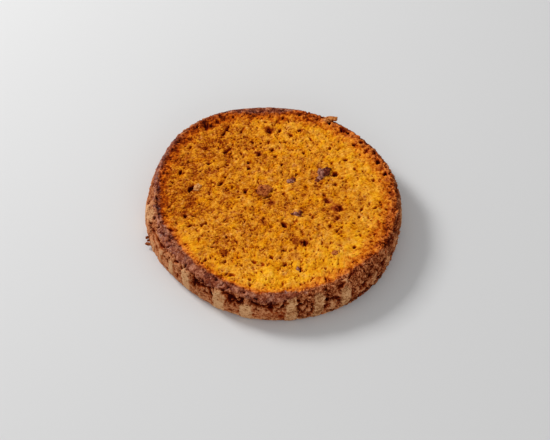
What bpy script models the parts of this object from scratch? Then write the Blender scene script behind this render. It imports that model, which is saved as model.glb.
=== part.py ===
"""A round slice of pumpkin bread, lying flat on its lower cut face.

The slice is one solid. Its outline is a circle with a few low waves, and its upper cut face leans a little.
The crust turns down over a rounded shoulder into a wall of upright smooth lands with torn crumb between them.
Pores, torn pits, chunks of fruit and nut, a flake on the rim and a few stuck crumbs are part of the same solid.
"""

import math
import random

import bmesh
import bpy
from mathutils import Euler, Matrix, Vector, noise

# Outline and height of the slice, in metres
SLICE_RADIUS = 0.0564
FACE_HEIGHT = 0.015
FACE_LEAN = 0.038
SHOULDER_WIDTH = 0.0035
SHOULDER_SWELL = 0.0022
SWELL_DIRECTION = -130
SHOULDER_DROP = 0.0036
WALL_BULGE = 0.0006
FOOT_ROUNDING = 0.0009

# Waves of the outline: how many go round, how high one is, and the direction of a crest in degrees
OUTLINE_WAVES = (
    (2, 0.00142, -54),
    (3, 0.0003, 18),
    (4, 0.0004, 28),
    (5, 0.0003, -17),
    (6, 0.0004, 13),
)

# Upright smooth lands of the crust: directions in degrees of those on the near side, then the usual step
NEAR_LANDS = (-174, -142, -132, -114, -102, -82, -69, -58, -42)
LAND_STEP = 14
LAND_STEP_SPREAD = 3
LAND_WIDTH = 0.0048
LAND_HEIGHT = 0.0005
LAND_TOP = 0.8
TEAR_DEPTH = 0.0018
TEAR_SIZE = 0.0036
TEAR_STRETCH = 1.5

# Relief of the upper cut face: low swells, with coarse crumb over them
SWELL_HEIGHT = 0.0004
SWELL_SIZE = 0.009
CRUMB_HEIGHT = 0.0003
CRUMB_SIZE = 0.0031

# Lumps along the rounded shoulder of the rim
LUMP_HEIGHT = 0.0006
LUMP_SIZE = 0.0042

# Large pores of the upper cut face: x, y, width, length in metres and turn in degrees
LARGE_PORES = (
    (-0.0416, 0.0146, 0.0026, 0.0030, 20),
    (-0.0371, 0.0051, 0.0026, 0.0044, -20),
    (0.0364, 0.0313, 0.0018, 0.0025, 80),
    (0.0469, 0.0216, 0.0024, 0.0030, 30),
    (0.0274, 0.0136, 0.0022, 0.0026, -30),
    (0.0499, 0.0136, 0.0022, 0.0026, 0),
    (0.0049, -0.0154, 0.0022, 0.0036, 25),
    (-0.0231, 0.0386, 0.0022, 0.0032, -50),
    (-0.0111, 0.0181, 0.0024, 0.0034, 35),
    (-0.0311, 0.0431, 0.0032, 0.0042, 10),
    (0.0129, -0.0254, 0.0028, 0.0038, -20),
    (-0.0121, 0.0036, 0.0018, 0.0026, 0),
    (0.0204, 0.0096, 0.0020, 0.0026, 60),
    (-0.0211, -0.0309, 0.0022, 0.0042, 70),
    (-0.0071, 0.0256, 0.0020, 0.0036, 0),
)
SMALL_PORES = 44
SMALL_PORE_WIDTH = (0.0013, 0.0021)
PORE_SPACING = 0.0052
PORE_DEPTH_SHARE = 0.55
UNDERSIDE_PORES = 14
UNDERSIDE_CLEAR_RADIUS = 0.012

# Torn pits of the wall, below the shoulder and between the lands
PIT_WIDTH = (0.0018, 0.0032)
PIT_HEIGHT = (0.0024, 0.0046)
PIT_DEPTH = 0.0022
PIT_LEVELS = (0.42, 0.72)

# Chunks that stand out of the upper cut face: x, y, width, length, height above the face, turn in degrees
CHUNKS = (
    (-0.0041, 0.0041, 0.0052, 0.0064, 0.0007, -30),
    (0.0224, 0.0146, 0.0040, 0.0056, 0.0004, 40),
    (0.0099, -0.0099, 0.0028, 0.0036, 0.0003, 80),
    (0.0084, 0.0096, 0.0022, 0.0034, 0.0003, 70),
    (-0.0343, 0.0056, 0.0022, 0.0036, 0.0005, 10),
)

# The flake that sticks out over the far right of the rim
FLAKE_DIRECTION = 59
FLAKE_SIZE = (0.0050, 0.0030, 0.0014)
FLAKE_LEVEL = 0.0168
FLAKE_REACH = 0.0010

# Crumbs stuck to the left of the wall: direction in degrees, height above the floor, width
STUCK_CRUMBS = (
    (-178, 0.0078, 0.0026),
    (-166, 0.0036, 0.0024),
    (-163, 0.0022, 0.0026),
)
STUCK_CRUMB_LENGTH = 0.0052
STUCK_CRUMB_DEPTH = 0.0009

# How finely the surface is divided
FACE_DIVISIONS = 40
SHOULDER_RINGS = 4
WALL_RINGS = 5
FOOT_RINGS = 2

CRUMB_COLOR = (0.66, 0.27, 0.022, 1.0)
CRUMB_ROUGHNESS = 0.8
SEED = 7


def clear_scene():
    """Remove every object, so that the file holds the slice alone."""
    for thing in list(bpy.data.objects):
        bpy.data.objects.remove(thing, do_unlink=True)


def outline_radius(angle):
    """The wall's radius in a direction: the slice's radius and its waves."""
    radius = SLICE_RADIUS
    for count, height, crest in OUTLINE_WAVES:
        radius += height * math.cos(count * (angle - math.radians(crest)))
    return radius


def shoulder_width(angle):
    """Width of the rounded shoulder: its usual width, and wider round the front left."""
    toward = max(0.0, math.cos(angle - math.radians(SWELL_DIRECTION)))
    return SHOULDER_WIDTH + SHOULDER_SWELL * toward**2


def face_level(x, y):
    """Height of the upper cut face: a plane that rises toward +Y, with low swells and coarse crumb."""
    place = Vector((x, y, 0.0))
    swell = SWELL_HEIGHT * noise.noise(place / SWELL_SIZE)
    crumb = CRUMB_HEIGHT * noise.noise(place / CRUMB_SIZE)
    return FACE_HEIGHT + FACE_LEAN * y + swell + crumb


def land_directions():
    """Directions of all the lands in radians: the near ones as named, the rest by their usual step."""
    draw = random.Random(SEED)
    directions = list(NEAR_LANDS)
    direction = NEAR_LANDS[-1]
    while direction < NEAR_LANDS[0] + 360 - 1.5 * LAND_STEP:
        direction += LAND_STEP + draw.uniform(-LAND_STEP_SPREAD, LAND_STEP_SPREAD)
        directions.append(direction)
    return [math.radians(direction) for direction in directions]


def turn_between(first, second):
    """The smaller turn between two directions."""
    return abs((first - second + math.pi) % math.tau - math.pi)


def wall_relief(angle, height, share, lands):
    """How far the wall stands out at a height, a share of the way up: out on a land, torn back between lands."""
    nearest = min(turn_between(angle, land) for land in lands) * SLICE_RADIUS
    across = max(0.0, 1.0 - (nearest / (0.5 * LAND_WIDTH)) ** 2)
    fade = min(1.0, (1.0 - share) / (1.0 - LAND_TOP))
    spot = Vector((SLICE_RADIUS * math.cos(angle), SLICE_RADIUS * math.sin(angle), height / TEAR_STRETCH))
    tear = max(0.0, 0.4 + noise.noise(spot / TEAR_SIZE))
    return fade * (LAND_HEIGHT * across - TEAR_DEPTH * (1.0 - across) * tear)


def disc_point(u, v):
    """A point of the square from -1 to 1 as radius and angle on a disc, with even areas."""
    if u == 0.0 and v == 0.0:
        return 0.0, 0.0
    quarter = math.pi / 4
    if abs(u) >= abs(v):
        radius = u
        angle = quarter * v / u
    else:
        radius = v
        angle = 2 * quarter - quarter * u / v
    if radius < 0:
        radius = -radius
        angle += math.pi
    return radius, angle


def section_point(angle, ring, lands):
    """Radius and height of one ring of the section, from the shoulder down the wall to the underside."""
    wall = outline_radius(angle)
    width = shoulder_width(angle)
    edge = wall - width
    top = face_level(edge * math.cos(angle), edge * math.sin(angle))
    wall_top = top - SHOULDER_DROP
    if ring <= SHOULDER_RINGS:
        turn = 0.5 * math.pi * ring / SHOULDER_RINGS
        spot = Vector((wall * math.cos(angle), wall * math.sin(angle), wall * turn / math.pi))
        lump = LUMP_HEIGHT * math.sin(2 * turn) * noise.noise(spot / LUMP_SIZE)
        radius = edge + width * math.sin(turn) + lump * math.sin(turn)
        return radius, top - SHOULDER_DROP * (1 - math.cos(turn)) + lump * math.cos(turn)
    ring -= SHOULDER_RINGS
    if ring <= WALL_RINGS:
        drop = ring / WALL_RINGS
        height = wall_top + (FOOT_ROUNDING - wall_top) * drop
        bulge = WALL_BULGE * math.sin(math.pi * drop)
        return wall + bulge + wall_relief(angle, height, 1 - drop, lands), height
    turn = 0.5 * math.pi * (ring - WALL_RINGS) / FOOT_RINGS
    foot = wall + wall_relief(angle, FOOT_ROUNDING, 0.0, lands)
    return foot - FOOT_ROUNDING * (1 - math.cos(turn)), FOOT_ROUNDING * (1 - math.sin(turn))


def make_object(name, bm, collection):
    """An object in a collection, with the mesh of a bmesh."""
    mesh = bpy.data.meshes.new(name)
    bm.to_mesh(mesh)
    bm.free()
    made = bpy.data.objects.new(name, mesh)
    collection.objects.link(made)
    return made


def shape_slice(collection, lands):
    """The body of the slice: a grid made round for the face, its rim drawn down ring by ring, and a flat underside."""
    bm = bmesh.new()
    bmesh.ops.create_grid(bm, x_segments=FACE_DIVISIONS, y_segments=FACE_DIVISIONS, size=1.0)
    angle_of = {}
    for vert in bm.verts:
        share, angle = disc_point(vert.co.x, vert.co.y)
        radius = share * (outline_radius(angle) - shoulder_width(angle))
        x = radius * math.cos(angle)
        y = radius * math.sin(angle)
        vert.co = (x, y, face_level(x, y))
        angle_of[vert] = angle
    for ring in range(1, SHOULDER_RINGS + WALL_RINGS + FOOT_RINGS + 1):
        rim = [edge for edge in bm.edges if edge.is_boundary]
        before = {vert.co.copy().freeze(): angle_of[vert] for edge in rim for vert in edge.verts}
        drawn = bmesh.ops.extrude_edge_only(bm, edges=rim)["geom"]
        for vert in drawn:
            if isinstance(vert, bmesh.types.BMVert):
                angle = before[vert.co.copy().freeze()]
                radius, height = section_point(angle, ring, lands)
                vert.co = (radius * math.cos(angle), radius * math.sin(angle), height)
                angle_of[vert] = angle
    rim = [edge for edge in bm.edges if edge.is_boundary]
    bmesh.ops.contextual_create(bm, geom=rim)
    bmesh.ops.recalc_face_normals(bm, faces=bm.faces)
    return make_object("bread_slice", bm, collection)


def add_ball(bm, place, size, turn):
    """A small rough ball of the given size across its three ways."""
    matrix = Matrix.LocRotScale(Vector(place), turn, 0.5 * Vector(size))
    bmesh.ops.create_icosphere(bm, subdivisions=1, radius=1.0, matrix=matrix)


def spread_places(draw, count, inner, outer, taken):
    """Places on the face at random, none nearer to another than the pores' spacing."""
    places = []
    while len(places) < count:
        angle = draw.uniform(-math.pi, math.pi)
        radius = math.sqrt(draw.uniform(inner**2, outer**2))
        place = Vector((radius * math.cos(angle), radius * math.sin(angle)))
        if all((place - other).length > PORE_SPACING for other in taken + places):
            places.append(place)
    return places


def shape_pores(collection, lands):
    """One cutter of many small balls: the pores of both cut faces and the torn pits of the wall."""
    draw = random.Random(SEED + 1)
    bm = bmesh.new()
    taken = [Vector(chunk[:2]) for chunk in CHUNKS]
    for x, y, width, length, turn in LARGE_PORES:
        size = (width, length, 2 * PORE_DEPTH_SHARE * width)
        add_ball(bm, (x, y, face_level(x, y)), size, Euler((0, 0, math.radians(turn))))
        taken.append(Vector((x, y)))
    reach = SLICE_RADIUS - 2 * SHOULDER_WIDTH
    for place in spread_places(draw, SMALL_PORES, 0.0, reach, taken):
        width = draw.uniform(*SMALL_PORE_WIDTH)
        size = (width, width * draw.uniform(1.0, 1.7), 2 * PORE_DEPTH_SHARE * width)
        turn = Euler((0, 0, draw.uniform(0, math.pi)))
        add_ball(bm, (place.x, place.y, face_level(place.x, place.y)), size, turn)
    for place in spread_places(draw, UNDERSIDE_PORES, UNDERSIDE_CLEAR_RADIUS, reach, []):
        width = draw.uniform(*SMALL_PORE_WIDTH)
        add_ball(bm, (place.x, place.y, 0.0), (width, 1.4 * width, width), Euler((0, 0, draw.uniform(0, math.pi))))
    around = sorted(land % math.tau for land in lands)
    for first, second in zip(around, around[1:] + [around[0] + math.tau]):
        angle = first + (second - first) * draw.uniform(0.35, 0.65)
        wall = outline_radius(angle)
        level = FACE_HEIGHT * draw.uniform(*PIT_LEVELS)
        size = (2 * PIT_DEPTH, draw.uniform(*PIT_WIDTH), draw.uniform(*PIT_HEIGHT))
        add_ball(bm, (wall * math.cos(angle), wall * math.sin(angle), level), size, Euler((0, 0, angle)))
    pores = make_object("pores", bm, collection)
    pores.hide_render = True
    pores.display_type = "WIRE"
    return pores


def shape_toppings(collection):
    """What stands out of the slice: chunks in the face, a flake on the rim and crumbs stuck to the wall."""
    draw = random.Random(SEED + 2)
    bm = bmesh.new()
    for x, y, width, length, height, turn in CHUNKS:
        depth = 0.5 * width
        place = (x, y, face_level(x, y) + height - depth)
        add_ball(bm, place, (width, length, 2 * depth), Euler((0, 0, math.radians(turn))))
    angle = math.radians(FLAKE_DIRECTION)
    radius = outline_radius(angle) - 0.5 * SHOULDER_WIDTH + FLAKE_REACH
    place = (radius * math.cos(angle), radius * math.sin(angle), FLAKE_LEVEL)
    add_ball(bm, place, FLAKE_SIZE, Euler((0, -0.2, 0.5 * angle)))
    for direction, height, width in STUCK_CRUMBS:
        angle = math.radians(direction)
        radius = outline_radius(angle) - STUCK_CRUMB_DEPTH
        place = (radius * math.cos(angle), radius * math.sin(angle), height)
        size = (STUCK_CRUMB_LENGTH, width * draw.uniform(0.8, 1.2), width)
        add_ball(bm, place, size, Euler((0, 0, angle)))
    return make_object("toppings", bm, collection)


def join_toppings(body, toppings):
    """Fuse the toppings to the body by one union, and remove them."""
    union = body.modifiers.new("toppings", "BOOLEAN")
    union.operation = "UNION"
    union.solver = "EXACT"
    union.object = toppings
    bpy.context.view_layer.update()
    evaluated = body.evaluated_get(bpy.context.evaluated_depsgraph_get())
    joined = bpy.data.meshes.new_from_object(evaluated)
    body.modifiers.remove(union)
    body.data = joined
    bpy.data.objects.remove(toppings, do_unlink=True)


def stand_on_origin(body, cutter):
    """Move both meshes so that the body's box stands on the origin at the middle of its underside."""
    low = Vector([min(vert.co[axis] for vert in body.data.vertices) for axis in range(3)])
    high = Vector([max(vert.co[axis] for vert in body.data.vertices) for axis in range(3)])
    middle = (low + high) / 2
    shift = Matrix.Translation((-middle.x, -middle.y, -low.z))
    body.data.transform(shift)
    cutter.data.transform(shift)


def crumb_material():
    """Toasted crumb of the cut face."""
    material = bpy.data.materials.new("bread")
    material.use_nodes = True
    surface = material.node_tree.nodes["Principled BSDF"]
    surface.inputs["Base Color"].default_value = CRUMB_COLOR
    surface.inputs["Roughness"].default_value = CRUMB_ROUGHNESS
    return material


def main():
    clear_scene()
    parts = bpy.data.collections.new("pumpkin_bread_slice")
    cutters = bpy.data.collections.new("cutters")
    bpy.context.scene.collection.children.link(parts)
    bpy.context.scene.collection.children.link(cutters)
    lands = land_directions()
    body = shape_slice(parts, lands)
    join_toppings(body, shape_toppings(parts))
    pores = shape_pores(cutters, lands)
    stand_on_origin(body, pores)
    cut = body.modifiers.new("pores", "BOOLEAN")
    cut.operation = "DIFFERENCE"
    cut.solver = "EXACT"
    cut.object = pores
    body.data.materials.clear()
    body.data.materials.append(crumb_material())
    body.data.shade_smooth()
    body.data.set_sharp_from_angle(angle=math.radians(35))


main()
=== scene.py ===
"""A round slice of toasted pumpkin bread, made in fine detail over its plain solid.

The slice is a puck of crumb inside a ring of crust. Both are surfaces worked out as whole arrays, and both
read the same outline and the same noise, so their edges meet point for point. Lengths are in millimetres
until a mesh is made. The last number of a noise is its stream, so that no two noises run alike.
"""

import functools
import itertools
import math
from types import SimpleNamespace

import bpy
import numpy as np
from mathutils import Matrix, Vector


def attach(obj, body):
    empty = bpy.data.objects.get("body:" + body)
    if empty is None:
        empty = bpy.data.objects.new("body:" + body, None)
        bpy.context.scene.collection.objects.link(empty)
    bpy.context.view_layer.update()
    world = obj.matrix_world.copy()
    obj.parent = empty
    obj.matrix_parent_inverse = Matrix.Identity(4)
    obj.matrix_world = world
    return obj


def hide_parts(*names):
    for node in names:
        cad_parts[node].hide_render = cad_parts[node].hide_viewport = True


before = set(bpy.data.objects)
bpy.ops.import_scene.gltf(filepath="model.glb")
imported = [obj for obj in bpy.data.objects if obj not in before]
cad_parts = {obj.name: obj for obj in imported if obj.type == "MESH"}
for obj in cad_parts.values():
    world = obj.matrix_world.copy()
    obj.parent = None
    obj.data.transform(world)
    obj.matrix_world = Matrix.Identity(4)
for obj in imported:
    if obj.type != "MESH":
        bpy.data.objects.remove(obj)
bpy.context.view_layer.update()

METRES = 0.001
NODE = "bread_slice"
BODY = "root"

# Outline and section of the slice, the same as those of its solid, and where the outline's centre lies
OUTLINE_CENTRE = (0.02, 0.47)
SLICE_RADIUS = 56.4
FACE_HEIGHT = 15.0
FACE_LEAN = 0.038
SHOULDER_WIDTH = 3.5
SHOULDER_SWELL = 2.2
SWELL_DIRECTION = -130
SHOULDER_DROP = 3.6
WALL_BULGE = 0.6
FOOT_ROUNDING = 0.9
OUTLINE_WAVES = (
    (2, 1.42, -54),
    (3, 0.3, 18),
    (4, 0.4, 28),
    (5, 0.3, -17),
    (6, 0.4, 13),
)

# The crust round the face: direction in degrees, its width inside the outline, and how far down from the face
# its smooth dark band reaches
CRUST_EDGES = (
    (-176, 5.8, -0.1),
    (-166, 5.8, 0.4),
    (-155, 7.0, 0.9),
    (-144, 6.6, 1.3),
    (-137, 5.8, 1.2),
    (-130, 5.1, 1.4),
    (-123, 5.4, 2.3),
    (-116, 5.5, 1.6),
    (-110, 5.6, 0.9),
    (-103, 4.4, 1.1),
    (-97, 4.1, 2.3),
    (-89, 5.0, 2.1),
    (-82, 5.1, 0.7),
    (-77, 4.6, 0.2),
    (-70, 5.4, -0.5),
    (-64, 5.0, -0.5),
    (-54, 5.4, -0.5),
    (-46, 5.3, -0.5),
    (-40, 4.6, -0.5),
    (-35, 2.6, -0.5),
    (-29, 1.4, -0.5),
    (75, 1.2, -0.5),
    (80, 3.0, 3.8),
    (88, 4.6, 3.8),
    (96, 5.7, 3.8),
    (107, 4.4, 3.8),
    (114, 2.4, 2.5),
    (122, 2.4, 0.0),
    (138, 2.8, 0.0),
    (146, 3.2, 3.0),
    (160, 3.0, 3.0),
    (166, 3.4, 1.8),
    (171, 4.2, 0.8),
    (177, 5.3, 0.0),
)

# The browned edge of the face in some directions: direction in degrees, width, and how bright it is
TOAST_EDGES = (
    (0, 5.2, -0.06),
    (24, 5.8, 0.02),
    (48, 6.6, 0.1),
    (75, 6.2, -0.02),
    (96, 5.2, -0.12),
    (120, 6.2, 0.03),
    (144, 5.0, 0.04),
    (168, 3.8, 0.0),
    (192, 3.8, 0.02),
    (215, 3.4, 0.1),
    (250, 1.3, 0.1),
    (275, 2.0, 0.08),
    (300, 5.4, -0.12),
    (318, 6.8, -0.18),
    (336, 7.2, -0.15),
)

# How bright the crumb is in a ring near its crust, by direction in degrees
RING_TONES = (
    (0, 0.2),
    (30, 0.26),
    (60, 0.08),
    (90, 0.06),
    (130, -0.18),
    (165, -0.12),
    (188, -0.23),
    (203, 0.1),
    (217, 0.16),
    (235, 0.06),
    (258, 0.29),
    (285, 0.31),
    (308, 0.34),
    (335, 0.24),
)

# How bright the wall is, by direction in degrees: painted light and shade over the crust's own tone, brighter
# on the lit front left and darker on the shaded front right
WALL_LIGHT_TONES = (
    (0, -0.05),
    (170, 0.1),
    (185, 0.25),
    (198, 0.3),
    (205, 0.50),
    (222, 0.48),
    (234, 0.27),
    (245, 0.26),
    (270, 0.1),
    (290, 0.0),
    (304, -0.05),
    (318, -0.12),
    (335, -0.12),
)

# Width of the crust that shows as a ring round the underside
UNDERSIDE_CRUST = 3.4

# How finely the crumb, the crust and the bits are divided
FACE_DIVISIONS = 264
UNDERSIDE_DIVISIONS = 132
SHOULDER_RINGS = 26
WALL_RINGS = 44
FOOT_RINGS = 6
UNDERSIDE_RINGS = 6
BIT_SEGMENTS = 40
BIT_RINGS = 26

# Dark pores of the face that are seen one by one: x, y, width, length, turn in degrees, darkness, which sets
# both how deep each is and how much painted shade darkens it
PORES = (
    (27.6, 13.1, 2.4, 3.4, -27, 1.0),
    (36.5, 30.8, 1.6, 1.9, 61, 0.86),
    (-22.8, 37.6, 1.6, 2.5, -36, 0.86),
    (13.7, 25.6, 1.3, 1.7, 16, 0.86),
    (1.0, 23.9, 1.3, 1.3, -85, 0.86),
    (34.7, -28.0, 1.7, 1.9, -51, 0.86),
    (4.7, -16.1, 2.3, 4.0, 20, 1.0),
    (8.0, 36.8, 1.6, 2.5, 64, 0.86),
    (-12.3, 3.0, 1.5, 1.9, -11, 0.86),
    (-11.0, 16.8, 1.6, 1.8, 76, 0.86),
    (-9.5, 32.5, 1.4, 1.9, 24, 0.86),
    (-41.5, 14.3, 1.5, 2.7, -15, 0.85),
    (-0.5, 28.0, 1.7, 2.1, -70, 0.85),
    (-36.5, 4.6, 2.4, 4.6, -30, 1.0),
    (-29.0, 19.4, 1.6, 1.8, 65, 0.83),
    (-21.8, 26.3, 1.4, 2.1, -25, 0.81),
    (32.5, 21.7, 1.5, 1.9, -63, 0.78),
    (-44.7, 8.0, 1.1, 1.5, 21, 0.77),
    (5.1, -37.4, 1.5, 2.3, -35, 0.77),
    (10.4, 12.9, 1.1, 1.7, -28, 0.77),
    (20.0, 9.4, 1.5, 1.7, 2, 0.76),
    (-23.4, 7.2, 1.5, 3.0, -42, 0.75),
    (3.7, 18.6, 1.3, 1.9, -10, 0.75),
    (2.9, 39.7, 1.7, 1.9, -24, 0.75),
    (22.0, -44.6, 1.1, 1.8, 17, 0.73),
    (-14.6, 38.9, 1.1, 1.7, -27, 0.73),
    (47.1, 20.5, 2.1, 3.5, -11, 0.73),
    (8.8, 9.4, 1.6, 1.7, -21, 0.73),
    (-0.8, -33.6, 1.5, 2.5, 43, 0.72),
    (-38.2, -11.1, 1.4, 2.1, -1, 0.72),
    (38.6, -7.3, 1.4, 2.5, -27, 0.71),
    (13.5, -25.9, 1.7, 3.0, 2, 0.6),
    (25.7, 28.6, 1.5, 1.7, 36, 0.71),
    (-28.9, -34.8, 1.3, 2.1, -23, 0.7),
    (-11.2, 20.0, 1.1, 1.7, -26, 0.67),
    (-21.4, 11.0, 1.4, 1.9, -19, 0.67),
    (-26.0, -27.9, 1.4, 1.8, -59, 0.65),
    (23.8, 14.2, 1.7, 2.6, 33, 0.65),
    (24.5, -16.5, 1.3, 2.5, -8, 0.65),
    (44.7, -6.5, 1.4, 1.9, -49, 0.65),
    (-17.5, -43.0, 1.7, 2.6, 81, 0.65),
    (44.7, 9.6, 1.4, 1.9, -11, 0.65),
    (-29.2, -15.0, 1.3, 1.9, 3, 0.65),
    (-8.1, -36.1, 1.4, 2.4, 40, 0.65),
    (27.4, 7.0, 1.6, 1.7, 9, 0.65),
    (11.9, 39.7, 1.6, 2.1, -62, 0.65),
    (-36.2, -16.4, 1.3, 2.3, -61, 0.64),
    (46.9, -3.0, 1.3, 1.5, 77, 0.64),
    (-21.1, 41.0, 1.6, 3.9, -18, 0.64),
    (-25.8, 45.3, 1.4, 1.8, 1, 0.64),
    (-7.1, 3.6, 1.1, 1.7, -10, 0.62),
    (4.5, 47.9, 1.1, 2.4, -11, 0.62),
    (14.6, 5.7, 1.3, 1.5, 47, 0.62),
    (-37.6, 29.7, 1.1, 2.1, -30, 0.62),
    (37.6, -21.5, 1.1, 1.8, -14, 0.62),
    (29.7, -17.3, 0.9, 1.4, -13, 0.62),
    (-43.8, -19.0, 1.6, 1.7, -67, 0.61),
    (-20.7, 18.8, 1.5, 1.9, 60, 0.61),
    (50.1, 13.4, 2.1, 2.6, -58, 0.61),
    (28.2, -12.0, 1.5, 1.5, 26, 0.61),
    (-20.4, 27.7, 1.9, 4.2, -44, 0.61),
    (-18.4, 48.3, 1.1, 1.5, 22, 0.61),
    (17.0, 34.6, 1.1, 2.3, 31, 0.61),
    (-2.1, 32.3, 1.3, 2.3, -9, 0.61),
    (22.0, -39.4, 1.2, 1.3, 52, 0.59),
    (37.3, -11.5, 1.1, 1.7, -13, 0.59),
    (-4.4, -37.2, 1.4, 2.2, 15, 0.59),
    (-24.3, -35.0, 0.8, 1.3, 11, 0.59),
    (42.2, 27.2, 1.5, 3.9, -27, 0.59),
    (42.1, -25.2, 1.1, 1.6, -30, 0.58),
    (23.7, -2.9, 1.8, 2.6, 73, 0.42),
    (26.2, 20.0, 1.1, 1.6, -27, 0.58),
    (31.6, 40.2, 2.2, 3.9, 40, 0.58),
    (-13.3, -38.1, 1.1, 1.4, 31, 0.58),
    (35.1, -15.1, 1.2, 1.4, -53, 0.58),
    (7.2, 45.3, 1.0, 1.6, -3, 0.58),
    (-18.2, 5.0, 0.8, 2.5, 4, 0.57),
    (36.5, 16.0, 1.2, 2.2, 3, 0.57),
    (11.5, -47.7, 1.2, 1.2, -68, 0.57),
    (-20.5, -36.0, 1.1, 1.4, -19, 0.57),
    (-1.9, 39.5, 2.0, 3.9, 27, 0.57),
    (43.8, -21.0, 1.2, 1.4, 88, 0.56),
    (1.5, 45.3, 1.1, 1.7, -25, 0.54),
    (-8.6, 28.2, 1.2, 1.4, -69, 0.54),
    (27.6, -19.1, 1.0, 1.9, -21, 0.53),
    (3.1, -33.9, 1.2, 1.4, -18, 0.53),
    (22.5, 0.9, 1.3, 2.9, 30, 0.53),
    (-31.9, -23.6, 1.4, 1.9, 6, 0.53),
    (29.5, -6.4, 1.8, 4.2, 20, 0.6),
    (-6.5, 24.7, 1.3, 2.6, -12, 0.5),
    (11.5, -39.9, 1.1, 2.7, 3, 0.82),
    (-30.7, 41.8, 1.9, 3.8, -1, 0.55),
    (-2.5, 0.1, 1.3, 4.4, -63, 0.69),
)
PORE_DEPTH = 1.3

# Pits of the shoulder and the rim, in the same way
RIM_PITS = (
    (49.9, 13.4, 1.5, 1.7, -15, 0.9),
    (47.2, 20.6, 1.4, 2.4, 0, 0.9),
    (-52.2, -17.6, 0.9, 1.4, 31, 0.9),
    (31.3, 40.0, 1.1, 1.8, 5, 0.9),
    (-13.3, -54.2, 0.8, 1.3, 77, 0.9),
    (-37.2, -37.4, 1.1, 1.4, 9, 0.9),
    (25.6, 44.9, 1.5, 2.8, 57, 0.9),
    (-21.3, -50.0, 0.9, 2.4, 55, 0.9),
    (34.3, 38.2, 1.1, 1.6, -39, 0.9),
    (-51.3, -0.6, 1.1, 1.9, 1, 0.87),
    (-49.5, -17.2, 1.0, 1.2, -9, 0.87),
    (-33.2, -42.2, 0.9, 1.5, 29, 0.87),
    (15.4, 48.5, 0.8, 1.2, -90, 0.85),
    (-51.8, -11.9, 0.8, 1.4, -9, 0.85),
    (46.1, 26.3, 0.9, 3.2, -4, 0.84),
    (-40.9, -35.0, 0.8, 1.0, 37, 0.83),
    (23.0, -52.3, 0.8, 1.2, -60, 0.82),
    (12.3, 49.7, 1.1, 1.5, 1, 0.81),
    (22.1, -50.0, 1.4, 1.8, -31, 0.81),
    (52.8, 7.8, 0.9, 1.4, -66, 0.8),
    (5.0, -56.1, 0.9, 1.5, -45, 0.8),
    (-39.0, -37.3, 0.8, 1.0, 38, 0.79),
    (42.5, 28.0, 0.8, 2.0, -13, 0.78),
    (10.5, -55.3, 1.4, 1.6, 7, 0.77),
    (-18.1, -52.3, 0.8, 2.8, 67, 0.77),
    (39.2, -35.6, 0.9, 1.4, -32, 0.77),
    (51.6, 2.8, 0.8, 1.4, -15, 0.75),
    (54.6, 4.1, 1.2, 1.4, -35, 0.74),
    (-44.9, -27.6, 0.9, 1.3, -87, 0.71),
    (52.1, 14.1, 0.9, 2.2, -20, 0.71),
    (-34.9, 42.3, 1.0, 1.9, 15, 0.7),
    (-9.0, -55.4, 0.8, 1.3, 58, 0.69),
    (29.0, -47.7, 1.5, 3.3, -41, 0.68),
    (32.6, -42.8, 1.4, 3.8, -37, 0.68),
    (15.6, -53.1, 1.4, 2.2, 85, 0.66),
    (40.1, 32.4, 1.9, 2.3, -79, 0.64),
    (20.3, 47.2, 0.9, 1.7, -22, 0.61),
    (47.8, -26.1, 1.1, 1.4, 9, 0.6),
    (28.0, -48.8, 1.2, 3.2, -44, 0.6),
    (-7.0, -54.8, 0.8, 1.6, 83, 0.6),
    (-48.1, -25.9, 0.8, 3.0, 23, 0.6),
    (-23.8, -45.3, 1.0, 1.8, 12, 0.59),
    (47.9, -29.7, 0.9, 1.7, -31, 0.59),
    (-29.5, -40.1, 0.8, 1.3, 25, 0.58),
    (18.9, 49.0, 0.8, 1.2, 17, 0.58),
    (-44.3, -24.5, 1.2, 1.6, 58, 0.58),
    (44.4, -32.8, 1.1, 1.4, 13, 0.58),
    (37.2, -38.7, 1.1, 2.2, -8, 0.57),
    (-12.0, -51.9, 1.2, 1.4, 62, 0.56),
    (-25.3, -47.5, 0.8, 1.4, 68, 0.54),
    (-44.4, -18.6, 1.4, 2.0, 20, 0.6),
    (-47.0, -21.2, 1.2, 2.4, 20, 0.55),
)

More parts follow.
